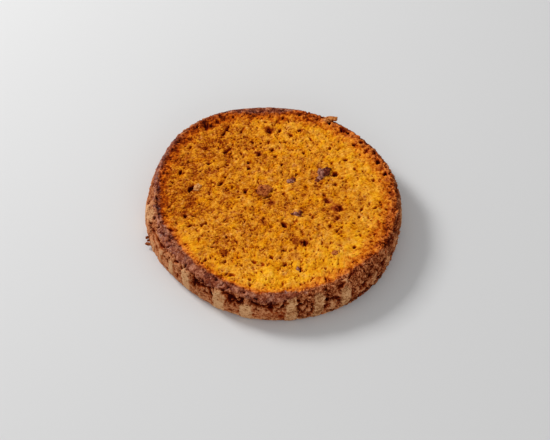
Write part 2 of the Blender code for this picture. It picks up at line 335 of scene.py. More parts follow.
# Browner patches of the face, and brighter ones by a strength below zero: x, y, radius, strength
SMUDGES = (
    (-4.1, -14.4, 2.6, 0.5),
    (9.5, -24.9, 2.8, 0.8),
    (13.9, -26.1, 2.2, 1.0),
    (9.3, -32.9, 2.4, 0.5),
    (22.9, -2.1, 2.2, 0.8),
    (28.4, -6.4, 3.0, 0.9),
    (-21.1, -30.9, 3.6, 0.9),
    (-2.1, 39.7, 3.2, 0.8),
    (13.9, 38.7, 2.6, 0.7),
    (-6.9, 25.7, 2.2, 0.6),
    (-31.1, 43.3, 3.6, 0.7),
    (-0.6, -3.5, 2.0, 0.8),
    (-39.1, -9.9, 2.4, 0.5),
    (45.4, 24.1, 3.0, 0.4),
    (-27.6, 15.1, 3.0, 0.5),
    (-11.7, 19.3, 2.8, 0.5),
    (-14.1, 11.1, 2.4, 0.35),
    (-35.6, -4.8, 4.4, 0.6),
    (27.4, -11.5, 2.4, 0.5),
    (-22.8, -25.6, 5.0, 0.6),
    (-22.9, -18.8, 4.0, 0.2),
    (-45.0, 28.2, 4.0, 0.6),
    (11.6, -14.4, 5.0, -0.35),
    (20.4, -10.4, 4.0, -0.3),
    (4.0, 6.6, 4.0, -0.25),
    (18.0, -47.8, 3.6, -0.5),
    (-1.3, -40.4, 4.0, -0.15),
    (16.1, -5.4, 3.6, -0.25),
    (7.3, -14.4, 3.6, -0.3),
    (-28.5, -22.0, 4.0, 0.35),
    (33.9, 3.8, 4.0, 0.35),
    (-37.4, 18.5, 4.0, 0.3),
    (38.4, -1.1, 5.0, 0.35),
    (-31.7, -10.2, 5.0, 0.25),
    (-24.2, 37.1, 4.5, -0.35),
    (-2.1, 10.5, 8.0, -0.2),
    (-1.2, -19.1, 6.5, -0.25),
)

# Reddish spots of the crumb, beside bits and pores: x, y, radius, strength
BLUSHES = (
    (27.4, -6.4, 3.8, 1.0),
    (27.0, -10.0, 3.0, 0.5),
    (24.3, -2.6, 2.6, 0.9),
    (18.4, 13.2, 2.8, 0.7),
    (20.6, 18.0, 2.0, 0.6),
    (28.2, -12.0, 2.0, 0.6),
    (13.4, -25.6, 3.0, 1.0),
    (9.9, -25.4, 2.4, 0.6),
    (9.8, -33.4, 3.2, 0.6),
    (-6.5, 24.9, 2.2, 0.8),
    (-0.8, -3.6, 2.4, 0.8),
    (-4.1, -14.4, 2.8, 0.4),
    (9.6, 7.2, 2.4, 0.5),
    (20.4, 10.0, 2.6, 0.7),
    (-20.6, -23.4, 2.6, 0.35),
    (-12.3, 2.6, 2.0, 0.6),
    (42.0, 31.0, 3.0, 0.5),
)

# Light tan lands of the wall: direction and lean in degrees, half width, lowest and highest level, paleness
NEAR_LANDS = (
    (-175.5, 2.0, 2.8, 0.6, 14.6, 0.8),
    (-158.0, 0.0, 1.2, 4.0, 10.0, 0.4),
    (-150.5, 0.5, 1.3, 5.0, 12.5, 0.5),
    (-142.0, -0.5, 1.5, 3.6, 12.0, 0.85),
    (-132.2, -1.0, 2.1, 1.6, 12.4, 0.9),
    (-124.5, 0.0, 1.2, 0.6, 5.0, 0.45),
    (-114.3, 0.2, 2.9, 0.4, 11.8, 1.0),
    (-101.6, 0.2, 2.9, 0.6, 9.8, 0.95),
    (-94.0, 0.0, 1.3, 0.6, 4.5, 0.35),
    (-82.5, 0.4, 2.6, 0.4, 12.8, 1.0),
    (-72.0, 2.4, 2.3, 0.6, 13.4, 0.9),
    (-64.6, 0.0, 1.3, 3.6, 9.0, 0.6),
    (-58.6, 0.5, 2.5, 1.6, 12.0, 0.95),
    (-42.4, 0.5, 1.8, 4.0, 10.5, 0.4),
    (-31.3, 0.5, 2.4, 3.0, 10.0, 0.4),
    (-19.0, 0.0, 2.2, 2.0, 10.0, 0.35),
)
LAND_STEP = 13.5
LAND_STEP_SPREAD = 3.0

# Light tan patches of the shoulder: x, y, width, length, turn in degrees, paleness
TAN_PATCHES = (
    (-53.5, -9.4, 4.2, 6.4, 10, 0.85),
    (-47.8, -20.0, 1.5, 3.2, 25, 0.7),
    (30.2, -45.2, 2.2, 3.6, 35, 0.45),
)

# Creases of the left wall: the direction about which they lie, half of their run, how far they lean
CREASED_DIRECTION = -164
CREASED_HALF = 24
CREASE_LEAN = 0.4

# The calmer lower part of the front left wall: middle and half of its run in degrees, and its highest level
CALM_DIRECTION = -118
CALM_HALF = 34
CALM_LEVEL = 6.6

# The light ridge along the wall's foot: middle and half of its run in degrees, its level in the middle, and
# how much it rises for each degree to the left
FOOT_RIDGE = -78
FOOT_RIDGE_HALF = 48
FOOT_RIDGE_LEVEL = 1.3
FOOT_RIDGE_RISE = 0.02

# Other parts of the crust, each by the direction of its middle in degrees: the gap under the band, dark with
# painted shade, the duller and the paler part of the shoulder, and the part of the foot darkened by painted
# shade
GAP_DIRECTION = -120
DULL_SHOULDER = 115
PALE_SHOULDER = -44
FOOT_SHADE_DIRECTION = -46

# How far the crumb's seam reaches over the crust's section, how far the face's look does and how much further
# it does where the crust is bare, and how far the foot reaches up
SEAM_REACH = 1.2
FACE_REACH = 0.5
BARE_FACE_REACH = 3.4
FOOT_REACH = 0.8

# Widths of crust at which its shoulder is covered and bare, and the drops between which its wall begins
COVERED_WIDTH = 3.0
BARE_WIDTH = 1.5
WALL_START = 1.0
WALL_FULL = 2.3

# The thin ring of the face where the crumb is brightest: its distance from the middle and half of its width
BRIGHT_RING_RADIUS = 45.6
BRIGHT_RING_HALF = 2.6

# The brighter part of the face on the far right: x, y, reach
BRIGHT_PART = (19, 28, 15)

# The crust's back, hidden in the bread: how far inward of the ring's edges its lower and upper edges lie, the
# height of the lower one, and how far the upper one lies below the face
BACK_LOW_STEP = 0.9
BACK_TOP_STEP = 1.2
BACK_LOW_HEIGHT = 3.5
BACK_TOP_DROP = 4.0

# Torn pits of the wall that are seen one by one: direction in degrees, level, width, height, turn, darkness,
# which sets both how deep each is and how much painted shade darkens it
NEAR_PITS = (
    (-127.9, 9.7, 1.7, 2.6, -2, 1.0),
    (-145.7, 3.4, 1.1, 3.0, -28, 1.0),
    (-103.7, 10.0, 1.3, 2.4, -10, 1.0),
    (-138.3, 5.1, 1.4, 3.8, -17, 1.0),
    (-135.9, 11.2, 0.9, 1.6, 84, 1.0),
    (-149.6, 8.1, 1.2, 2.0, -45, 1.0),
    (-127.6, 8.2, 1.6, 3.4, 4, 1.0),
    (-104.4, 4.5, 1.3, 1.5, -49, 1.0),
    (-118.2, 8.0, 1.4, 3.3, 37, 1.0),
    (-64.1, 6.5, 1.1, 3.6, -6, 1.0),
    (-97.2, 10.0, 1.6, 2.5, 64, 1.0),
    (-56.6, 2.1, 2.1, 3.5, 80, 0.96),
    (-86.1, 9.9, 1.2, 3.2, -38, 0.92),
    (-94.4, 9.9, 1.1, 1.2, -50, 0.91),
    (-108.2, 8.9, 1.6, 2.4, 61, 0.91),
    (-144.3, 11.1, 0.9, 1.3, -38, 0.88),
    (-67.6, 5.8, 2.3, 2.6, -35, 0.85),
    (-73.6, 5.2, 1.4, 3.3, -9, 0.83),
    (-122.2, 10.0, 1.4, 3.9, -72, 0.82),
    (-116.9, 3.6, 1.6, 2.1, -2, 0.81),
    (-80.0, 7.6, 1.6, 2.1, -20, 0.79),
    (-75.7, 8.1, 1.1, 1.5, 7, 0.77),
    (-31.7, 2.6, 1.2, 5.0, 35, 0.73),
    (-73.4, 8.7, 1.1, 2.1, 80, 0.71),
    (-152.0, 7.8, 1.2, 1.8, -34, 0.71),
    (-79.6, 2.5, 1.3, 3.2, 33, 0.71),
    (-38.8, 3.1, 2.1, 4.2, 48, 0.7),
    (-154.4, 9.1, 1.6, 2.3, 36, 0.69),
    (-47.0, 3.3, 1.9, 3.8, 25, 0.67),
    (-91.1, 7.7, 1.1, 4.0, 34, 0.67),
    (-86.7, 3.4, 2.4, 3.0, 28, 0.66),
    (-50.9, 2.1, 2.7, 3.6, -36, 0.64),
    (-150.9, 11.4, 1.0, 1.9, 62, 0.63),
    (-98.9, 3.9, 2.2, 2.8, -50, 0.62),
    (-23.3, 11.3, 1.6, 2.0, -90, 0.61),
    (-55.5, 7.7, 1.7, 3.4, 6, 0.6),
    (-27.9, 3.0, 0.7, 5.0, 29, 0.59),
    (-54.6, 1.9, 2.2, 5.0, 79, 0.59),
    (-62.6, 7.6, 2.8, 4.4, 11, 0.58),
    (-157.9, 11.0, 1.8, 2.5, 36, 0.56),
    (-108.7, 2.7, 1.7, 2.2, -65, 0.55),
    (-84.0, 1.8, 0.7, 1.2, 78, 0.54),
    (-41.3, 10.6, 1.2, 1.5, 17, 0.54),
    (-82.3, 1.9, 1.1, 1.7, 12, 0.53),
    (-76.5, 10.6, 0.9, 1.2, -84, 0.5),
    (-91.7, 1.9, 1.1, 2.2, -4, 0.5),
    (-126.6, 9.9, 1.8, 6.6, 57, 1.0),
    (-118.3, 9.3, 1.6, 5.0, 53, 1.0),
    (-107.7, 10.5, 2.3, 5.0, 72, 1.0),
    (-103.6, 10.7, 1.5, 2.6, -30, 1.0),
    (-95.8, 9.9, 1.3, 7.8, 74, 1.0),
    (-158.0, 11.0, 0.8, 7.4, 68, 0.75),
    (-153.2, 8.5, 0.8, 3.6, 50, 0.75),
    (-153.3, 12.3, 0.7, 5.1, 74, 0.7),
    (-109.2, 9.2, 2.2, 4.8, 10, 1.0),
    (-104.8, 9.3, 2.0, 2.6, -60, 0.95),
)
PIT_DEPTH = 1.3

# Bits in the crumb: x, y, height of the middle over the face, size across, along and up, turn in degrees
NUT_BITS = (
    (-4.0, 3.6, -0.35, 6.0, 6.6, 2.8, -25),
    (26.5, -31.2, -0.6, 3.8, 3.8, 1.8, 10),
)
FRUIT_BITS = (
    (21.8, 13.8, -0.4, 3.8, 5.8, 2.8, 20),
    (20.6, 11.2, -0.75, 3.0, 3.2, 2.0, 10),
    (10.1, -9.9, -0.4, 2.2, 2.9, 2.2, 60),
    (7.9, 8.8, -0.5, 2.8, 3.5, 2.0, 80),
    (10.4, -39.6, -0.7, 1.3, 2.6, 1.8, 10),
    (5.8, -51.9, -1.3, 2.2, 4.6, 2.4, 78),
)

# Dark red bits set beside those bits as painted shade, in the same way
FRUIT_SHADE_BITS = (
    (23.9, 14.6, -0.25, 3.2, 5.4, 2.8, -5),
    (19.4, 9.5, -0.6, 2.4, 2.4, 1.8, 0),
    (11.6, -9.5, -0.45, 2.0, 3.6, 2.0, -10),
    (8.4, -9.6, -0.7, 2.2, 1.6, 1.7, 0),
    (8.9, 9.8, -0.4, 2.0, 2.6, 1.9, 60),
)
PALE_BITS = (
    (-33.6, 5.6, -0.6, 2.8, 4.6, 2.2, -20),
)

# The flake that stands out over the rim on the far right, and crumbs stuck to the wall, in the same way
FLAKES = (
    (27.0, 46.9, 0.15, 5.2, 2.3, 1.5, -4),
    (24.6, 46.4, -0.4, 3.0, 2.8, 2.0, 20),
)
STUCK_CRUMBS = (
    (-56.0, -0.9, -7.0, 1.2, 1.3, 1.2, 0),
    (-55.8, -3.9, -6.8, 1.0, 1.6, 1.4, 0),
    (-55.3, -14.3, -10.4, 1.7, 1.2, 1.1, 20),
    (-54.8, -15.2, -11.4, 1.4, 0.9, 0.9, 0),
    (-54.9, -16.3, -12.4, 2.6, 1.3, 1.3, -15),
)

# Where every stream of chance starts, and the factors that mix a lattice cell's numbers into a hash
SEED = 7
CELL_FACTORS = (73856093, 19349663, 83492791)
STREAM_FACTOR = 7919
HASH_FACTORS = (0xFF51AFD7ED558CCD, 0xC4CEB9FE1A85EC53)
HASH_SHIFT = 33
HASH_MASK = 0xFFFFFF


def smooth_step(low, high, value):
    """From 0 at low to 1 at high along a smooth curve; low may be the larger."""
    share = np.clip((value - low) / (high - low), 0.0, 1.0)
    return share * share * (3.0 - 2.0 * share)


def cell_numbers(cell, stream, count):
    """Numbers from 0 to 1 that belong to each cell of a lattice: its whole numbers mixed into a hash."""
    factors = np.array(CELL_FACTORS, dtype=np.uint64)
    start = np.uint64((SEED + stream) * STREAM_FACTOR + 1)
    mixed = (cell.astype(np.int64).astype(np.uint64) * factors).sum(axis=-1) + start
    shift = np.uint64(HASH_SHIFT)
    numbers = []
    for _ in range(count):
        for factor in HASH_FACTORS:
            mixed = (mixed ^ (mixed >> shift)) * np.uint64(factor)
        mixed = mixed ^ (mixed >> shift)
        numbers.append((mixed & np.uint64(HASH_MASK)).astype(float) / HASH_MASK)
    return np.stack(numbers, axis=-1)


def lumps(points, size, stream):
    """Smooth lumps of about the given size, from -1 to 1: a lattice of slopes, blended with a quintic."""
    place = points / size
    cell = np.floor(place)
    part = place - cell
    ease = part**3 * (part * (part * 6 - 15) + 10)
    total = np.zeros(points.shape[:-1])
    for corner in itertools.product((0, 1), repeat=3):
        slope = 2 * cell_numbers(cell + corner, stream, 3) - 1
        weight = np.prod(np.where(np.array(corner) == 1, ease, 1 - ease), axis=-1)
        total += weight * ((part - corner) * slope).sum(axis=-1)
    return 1.6 * total


def grains(points, size, stream):
    """Packed grains of about the given size, from one random seed in each cell of a lattice.

    Gives the distance to the nearest seed and how much further the next one is, both in cells, and a number
    from 0 to 1 that belongs to the nearest seed.
    """
    place = points / size
    cell = np.floor(place)
    part = place - cell
    nearest = np.full(points.shape[:-1], 9.0)
    second = nearest.copy()
    number = np.zeros(points.shape[:-1])
    for step in itertools.product((-1, 0, 1), repeat=3):
        drawn = cell_numbers(cell + step, stream, 4)
        distance = ((np.array(step) + drawn[..., :3] - part) ** 2).sum(axis=-1)
        number = np.where(distance < nearest, drawn[..., 3], number)
        second = np.minimum(second, np.maximum(nearest, distance))
        nearest = np.minimum(nearest, distance)
    nearest = np.sqrt(nearest)
    return nearest, np.sqrt(second) - nearest, number


def holes(points, size, share, stream):
    """1 in round holes of up to about the given size and 0 between them; a share of the cells has one."""
    distance, _, number = grains(points, 1.6 * size, stream)
    reach = 0.15 + 0.25 * np.clip((number - 1 + share) / share, 0, 1)
    return np.where(number > 1 - share, smooth_step(reach, 0.45 * reach, distance), 0.0)


def slits(points, size, width, share, stream):
    """1 along winding slits and 0 beside them: where a noise crosses zero, kept in a share of the places."""
    line = np.abs(lumps(points, size, stream))
    kept = smooth_step(-0.1, 0.1, lumps(points, 1.4 * size, stream + 300) - (0.5 - share))
    return smooth_step(width, 0.35 * width, line) * kept


def stirred(points, size, reach, stream):
    """Points moved by up to about the given reach, by three noises, so that what is drawn on them winds."""
    return points + reach * np.stack([lumps(points, size, stream + step) for step in range(3)], axis=-1)


def flat_points(x, y, z=0.0):
    """Points as one array, from their coordinates."""
    return np.stack([x, y, np.zeros_like(x) + z], axis=-1)


def round_points(radius, angle):
    """The x and y of points, from their distances and directions."""
    return radius * np.cos(angle), radius * np.sin(angle)


def outline_radius(angle):
    """The wall's radius in a direction: the slice's radius and the waves of its outline."""
    radius = np.full_like(angle, SLICE_RADIUS)
    for count, height, crest in OUTLINE_WAVES:
        radius = radius + height * np.cos(count * (angle - np.radians(crest)))
    return radius


def turn_from(angle, direction):
    """The turn from a direction in degrees, or from one for each point, in radians, from -pi to pi."""
    return (angle - np.radians(direction) + np.pi) % (2 * np.pi) - np.pi


def near_direction(angle, direction, outer, inner):
    """1 within the inner number of degrees of a direction, and 0 beyond the outer number."""
    return smooth_step(outer, inner, np.degrees(np.abs(turn_from(angle, direction))))


def by_direction(angle, table):
    """Each column of a table of directions in degrees, read between its rows."""
    directions, *columns = np.array(table).T
    return [np.interp(np.degrees(angle), directions, column, period=360) for column in columns]


def crust_sizes(angle):
    """The crust's width inside the outline, and how far down its band reaches, in each direction."""
    return by_direction(angle, CRUST_EDGES)


def band_share(angle, drop, place):
    """1 on the smooth dark band of the shoulder and 0 elsewhere, by how far a point lies below the face."""
    reach = crust_sizes(angle)[1] + 0.5 * lumps(place, 2.6, 50) + 0.3 * lumps(place, 1.1, 51)
    return smooth_step(0.25, -0.25, drop - reach)


def shoulder_width(angle):
    """Width of the rounded shoulder: its usual width, and wider round the front left."""
    toward = np.maximum(0.0, np.cos(turn_from(angle, SWELL_DIRECTION)))
    return SHOULDER_WIDTH + SHOULDER_SWELL * toward**2


def mark_share(x, y, across, along, width, length, turn, wobble):
    """1 inside an oval mark and 0 outside, with an edge that a wobble moves."""
    turn = math.radians(turn)
    side = (x - across) * math.cos(turn) + (y - along) * math.sin(turn)
    lengthwise = (y - along) * math.cos(turn) - (x - across) * math.sin(turn)
    distance = np.hypot(side / (0.5 * width), lengthwise / (0.5 * length)) + wobble
    return smooth_step(1.25, 0.6, distance)


def darkest_mark(x, y, marks, wobble):
    """How dark the named marks make each point: the greatest of their shares times their darkness."""
    share = np.zeros_like(x)
    for *mark, darkness in marks:
        share = np.maximum(share, darkness * mark_share(x, y, *mark, wobble))
    return share


def named_pores(x, y):
    """How dark the named pores of the face and the rim make each point: ovals with ragged sides."""
    place = flat_points(x, y)
    ragged = stirred(place, 0.8, 0.38, 100)
    return darkest_mark(ragged[..., 0], ragged[..., 1], PORES + RIM_PITS, 0.4 * lumps(place, 1.1, 11))


def soft_spot(x, y, place, across, along, radius):
    """1 in the middle of a soft round spot, falling to 0 at its ragged edge."""
    spread = np.hypot(x - across, y - along) + 0.9 * lumps(place, 1.8, 28)
    return smooth_step(radius, 0.35 * radius, spread)


def crumb_surface(x, y):
    """Height of the upper cut face, how much of each point is a pore, and how far it stands out.

    A leaning plane, low swells, coarse and fine lumps and packed grains, less the pores: small round holes
    and slits by chance, and the larger ones by name. The pore share and how far a point stands out only
    colour
    the crumb: painted shade in the pores, and painted light and shade on its grains and hollows.
    """
    place = flat_points(x, y)
    warped = stirred(place, 1.6, 0.7, 1)
    swell = 0.4 * lumps(place, 9.0, 4)
    relief = 0.34 * lumps(place, 3.1, 5) + 0.28 * lumps(warped, 1.6, 6)
    relief += 0.14 * lumps(warped, 0.85, 7)
    relief += 0.3 * (0.45 - grains(warped, 1.3, 8)[0])
    middle = holes(warped, 1.2, 0.5, 10)
    tiny = holes(warped + 50, 0.9, 0.45, 29)
    slit = slits(warped, 2.0, 0.08, 0.3, 60)
    pore = np.maximum(np.maximum(0.6 * middle, 0.46 * tiny), 0.48 * slit)
    named = named_pores(x, y)
    depth = np.maximum(pore, PORE_DEPTH * named)
    return FACE_HEIGHT + FACE_LEAN * y + swell + relief - depth, np.maximum(pore, named), relief - 0.4 * depth


def underside_surface(x, y):
    """Height of the lower cut face: it rests on its crests at zero, with hollows and pores over them."""
    place = flat_points(x, y, 90.0)
    hollow = 0.25 * lumps(place, 4.0, 12) + 0.16 * lumps(place, 1.6, 13)
    warped = stirred(place, 1.6, 0.6, 14)
    pore = np.maximum(holes(warped, 2.2, 0.35, 17), 0.6 * holes(warped, 1.3, 0.6, 18))
    return np.maximum(0.0, hollow) + 0.9 * pore, pore


def all_lands():
    """The lands in view as named, and like ones by their usual step round the rest of the wall."""
    draw = np.random.default_rng(SEED)
    lands = list(NEAR_LANDS)
    direction = NEAR_LANDS[-1][0]
    while direction < NEAR_LANDS[0][0] + 360 - 1.4 * LAND_STEP:
        direction += LAND_STEP + draw.uniform(-LAND_STEP_SPREAD, LAND_STEP_SPREAD)
        half = draw.uniform(1.6, 2.9)
        low = draw.uniform(0.4, 2.5)
        high = draw.uniform(10.0, 12.8)
        lands.append((direction, draw.uniform(-1.0, 1.0), half, low, high, draw.uniform(0.5, 1.0)))
    return lands


def land_share(angle, level, place):
    """How much of each point is a light land, and how much is the dark crease beside one.

    A land is full across its width and ends within a short step, with soft ends up and down, all drawn by
    noise. A leaning land turns by its lean from the lowest to the highest level. The crease is a narrow bell
    at its sides: a shallow groove whose darkness is painted shade beside the land.
    """
    wander = 0.8 * lumps(place, 2.4, 16) + 0.75 * lumps(place, 1.1, 17)
    ending = level + 1.3 * wander
    share = np.zeros_like(angle)
    crease = np.zeros_like(angle)
    for direction, lean, half, low, high, paleness in all_lands():
        rise = (level - low) / (high - low)
        across = np.abs(turn_from(angle, direction + lean * rise) * SLICE_RADIUS + wander)
        upright = smooth_step(low - 0.6, low + 0.4, ending) * smooth_step(high + 0.4, high - 1.4, ending)
        share = np.maximum(share, paleness * upright * smooth_step(1.12 * half, 0.74 * half, across))
        crease = np.maximum(crease, paleness * upright * np.exp(-(((across - 1.25 * half) / 0.4) ** 2)))
    return share, crease * smooth_step(-0.1, 0.25, lumps(place, 2.2, 95))


def foot_ridge(angle, level, place):
    """How much of each point is the thin light ridge along the foot of the front wall."""
    share = near_direction(angle, FOOT_RIDGE, FOOT_RIDGE_HALF + 8, FOOT_RIDGE_HALF - 8)
    turn = np.degrees(turn_from(angle, FOOT_RIDGE))
    across = level - FOOT_RIDGE_LEVEL + FOOT_RIDGE_RISE * turn + 0.5 * lumps(place, 3.0, 53)
    patchy = smooth_step(-0.4, 0.3, lumps(place, 4.0, 54))
    return 0.75 * share * patchy * np.exp(-((across / 0.42) ** 2))


def calm_share(angle, level):
    """How much of each point lies on the calmer lower part of the front left wall."""
    share = near_direction(angle, CALM_DIRECTION, CALM_HALF + 6, CALM_HALF - 6)
    return share * smooth_step(CALM_LEVEL + 1.2, CALM_LEVEL - 1.2, level)


def chunky(place, size, stream):
    """Packed chunks: 1 on them and 0 in the crevices between them, and a number that belongs to each."""
    _, border, number = grains(stirred(place, 0.7 * size, 0.33 * size, stream), size, stream + 3)
    return smooth_step(0.02, 0.3, border), number


def torn_relief(angle, level, place):
    """How far the torn wall stands out between its lands, and how much of each point is a lost chunk's bed.

    Packed chunks of unlike height with crevices between them, lumps and thin raised fibres. On the left it is
    creased instead: long lumps that run round the wall and lean a little. Low on the front left it is calmer,
    with fine upright streaks.
    """
    chunk, number = chunky(place * np.array([1.0, 1.0, 1.3]), 2.6, 62)
    fibre = slits(stirred(place, 1.3, 0.5, 88), 2.6, 0.1, 0.65, 92)
    torn = 0.32 * lumps(place, 2.8, 33) + 0.25 * lumps(place, 1.2, 34)
    torn += 0.14 * lumps(place, 0.65, 35) + 0.4 * (number - 0.5) * chunk - 0.2 * (1 - chunk) + 0.42 * fibre
    creased = near_direction(angle, CREASED_DIRECTION, CREASED_HALF + 7, CREASED_HALF - 7)
    along = CREASE_LEAN * SLICE_RADIUS * turn_from(angle, CREASED_DIRECTION)
    lean = np.stack([place[..., 0], place[..., 1], 5.0 * (level + along)], axis=-1)
    crease = lumps(lean, 5.0, 36)
    calm = calm_share(angle, level) * (1 - creased)
    streak = 0.1 + 0.22 * lumps(place * np.array([1.0, 1.0, 0.3]), 1.1, 97) + 0.15 * lumps(place, 2.4, 98)
    lost = np.where(number < 0.13, chunk, 0.0) * (1 - creased) * (1 - calm)
    torn = torn * (1 - 0.6 * creased) + 0.75 * creased * crease
    return torn + 0.6 * calm * (streak - torn), lost


def shoulder_relief(band, place):
    """How far the shoulder stands out: low lumps on its smooth band, and rugged chunks beside it."""
    smooth = 0.2 + 0.16 * lumps(place, 3.4, 30) + 0.08 * lumps(place, 1.5, 31)
    smooth += 0.07 * lumps(place, 0.7, 32) + 0.1 * slits(place + 30, 2.0, 0.12, 0.6, 99)
    chunk, number = chunky(place, 2.2, 70)
    rugged = 0.1 + 0.38 * lumps(place, 2.4, 43) + 0.25 * lumps(place, 1.2, 44)
    rugged += 0.12 * lumps(place, 0.65, 52) + 0.8 * (number - 0.5) * chunk - 0.35 * (1 - chunk)
    return band * smooth + (1 - band) * rugged


def pit_share(angle, level, place):
    """How much of each point is a torn pit: the named ones, and small holes and slits by chance."""
    warped = stirred(place, 1.5, 0.6, 19)
    share = np.maximum(0.8 * holes(warped, 1.9, 0.35, 22), 0.7 * holes(warped, 1.1, 0.5, 42))
    share = np.maximum(share, 0.75 * slits(warped * np.array([1.0, 1.0, 1.3]), 3.2, 0.1, 0.5, 61))
    share *= 1 - 0.6 * calm_share(angle, level)
    wobble = 0.4 * lumps(place, 1.2, 18)
    for direction, height, *size, darkness in NEAR_PITS:
        across = turn_from(angle, direction) * SLICE_RADIUS
        share = np.maximum(share, darkness * mark_share(across, level, 0.0, height, *size, wobble))
    return share


def edge_toast(angle, inward, place):
    """Browning of the crumb toward its crust, by its width in each direction and with a ragged inner side."""
    width = by_direction(angle, TOAST_EDGES)[0] * (1 + 0.35 * lumps(place, 6.0, 21))
    start = np.maximum(0.0, crust_sizes(angle)[0] - shoulder_width(angle))
    ragged = inward - start + 0.4 * width * lumps(place, 2.2, 22) + 0.3 * width * lumps(place, 1.0, 23)
    return np.clip(1 - ragged / (1.25 * width), 0, 1)


def crust_edge(angle, inward, place):
    """1 on the crust and 0 on the crumb, by how far inward of the face's rim a point lies."""
    start = crust_sizes(angle)[0] - shoulder_width(angle)
    ragged = inward - start + 0.9 * lumps(place, 2.4, 24) + 0.6 * lumps(place, 1.0, 25)
    return smooth_step(0.5, -0.5, ragged)


def face_tone(x, y, place, fine, toast, bare_crust):
    """From 0, browner, to 1, brighter: the crumb is brightest in a ring along the front and the right.

    It varies more where it is toasted, and is darker where plain crust reaches over the face. It is also
    lighter where the crumb stands out and darker in its hollows and pores, as painted light and shade.
    """
    angle = np.arctan2(y, x)
    out = np.hypot(x, y)
    thin_ring = np.exp(-(((out - BRIGHT_RING_RADIUS) / BRIGHT_RING_HALF) ** 2))
    ring = by_direction(angle, RING_TONES)[0] * smooth_step(20, 42, out) * (1 + 0.35 * thin_ring)
    across, along, reach = BRIGHT_PART
    tone = 0.55 + ring + 0.12 * np.exp(-((x - across) ** 2 + (y - along) ** 2) / reach**2)
    # The last term is painted light and shade: lighter where the crumb stands out, darker in its hollows
    tone = tone + 0.2 * lumps(place, 8.0, 26) + 0.23 * lumps(place, 3.0, 27) + 0.6 * fine
    edge = by_direction(angle, TOAST_EDGES)[1]
    tone = tone + toast * (edge + 0.5 * fine + 0.3 * lumps(place, 1.3, 101)) - 0.28 * bare_crust
    for *spot, strength in SMUDGES:
        tone = tone - 0.45 * strength * soft_spot(x, y, place, *spot)
    return tone


def face_blush(x, y, place):
    """How reddish the crumb is, by its named reddish spots."""
    share = np.zeros_like(x)
    for *spot, strength in BLUSHES:
        share = np.maximum(share, strength * soft_spot(x, y, place, *spot))
    return share


def disc_grid(divisions):
    """A square grid turned into a disc of even cells: the share of the radius and the angle of each point."""
    line = np.linspace(-1.0, 1.0, divisions + 1)
    u, v = np.meshgrid(line, line)
    wide = np.abs(u) >= np.abs(v)
    long_side = np.where(wide, u, v)
    short_side = np.where(wide, v, u)
    slope = np.divide(short_side, long_side, out=np.zeros_like(u), where=long_side != 0)
    angle = np.where(wide, 0.25 * np.pi * slope, 0.5 * np.pi - 0.25 * np.pi * slope)
    return np.abs(long_side).ravel(), (angle + np.pi * (long_side < 0)).ravel()


def grid_faces(divisions):
    """Four corners of each cell of a square grid, turning to the left."""
    index = np.arange((divisions + 1) ** 2).reshape(divisions + 1, divisions + 1)
    corners = [index[:-1, :-1], index[:-1, 1:], index[1:, 1:], index[1:, :-1]]
    return np.stack([corner.ravel() for corner in corners], axis=-1)


def rim_order(share, angle):
    """The points of the grid's rim, in order round it."""
    rim = np.flatnonzero(share > 1 - 1e-9)
    return rim[np.argsort(np.round(angle[rim] % (2 * np.pi), 6))]


def make_piece(name, points, faces, marks, material):
    """A smooth shaded piece at the origin, from its points about the outline's centre, faces and numbers."""
    mesh = bpy.data.meshes.new(name)
    mesh.from_pydata((points + (*OUTLINE_CENTRE, 0.0)) * METRES, [], faces)
    for mark, values in marks.items():
        layer = mesh.attributes.new(mark, "FLOAT", "POINT")
        layer.data.foreach_set("value", np.asarray(values, dtype=np.float32))
    mesh.shade_smooth()
    mesh.materials.append(material)
    piece = bpy.data.objects.new(name, mesh)
    bpy.context.scene.collection.objects.link(piece)
    return piece


def crumb_marks(x, y, angle, inward, pore, fine):
    """The crumb's numbers for its material."""
    place = flat_points(x, y)
    crusty = crust_edge(angle, inward, place)
    band = band_share(angle, 0 * x, place)
    toast = edge_toast(angle, inward, place)
    return {
        "crusty": crusty,
        "toast": toast,
        # pores of the face and the underside, which the material darkens as painted shade
        "pit": pore,
        "land": np.zeros_like(x),
        "band": crusty * band,
        "tone": face_tone(x, y, place, fine, toast, crusty * (1 - band)),
        "blush": face_blush(x, y, place),
    }


def crumb_side(upper, lower):
    """Faces between the upper rim and the lower one, which has half as many points."""
    corner, middle, after = upper[0::2], upper[1::2], np.roll(upper[0::2], -1)
    beside = np.roll(lower, -1)
    triangles = [(lower, beside, middle), (lower, middle, corner), (beside, after, middle)]
    return np.concatenate([np.stack(triangle, axis=-1) for triangle in triangles])


def make_crumb(material):
    """The crumb: a fine upper face, a coarser underside and a plain side that the crust hides."""
    share, angle = disc_grid(FACE_DIVISIONS)
    edge = outline_radius(angle) - shoulder_width(angle)
    x, y = round_points(share * edge, angle)
    z, pore, fine = crumb_surface(x, y)
    top_marks = crumb_marks(x, y, angle, (1 - share) * edge, pore, fine)
    low_share, low_angle = disc_grid(UNDERSIDE_DIVISIONS)
    low_edge = outline_radius(low_angle) - UNDERSIDE_CRUST
    low_x, low_y = round_points(low_share * low_edge, low_angle)
    low_z, low_pore = underside_surface(low_x, low_y)
    low_marks = crumb_marks(low_x, low_y, low_angle, (1 - low_share) * low_edge, low_pore, 0 * low_x)
    count = len(x)
    side = crumb_side(rim_order(share, angle), rim_order(low_share, low_angle) + count)
    faces = grid_faces(FACE_DIVISIONS).tolist() + side.tolist()
    faces += (grid_faces(UNDERSIDE_DIVISIONS)[:, ::-1] + count).tolist()
    points = np.concatenate([flat_points(x, y, z), flat_points(low_x, low_y, low_z)])
    marks = {name: np.concatenate([top_marks[name], low_marks[name]]) for name in top_marks}
    return make_piece("bread_crumb", points, faces, marks, material)


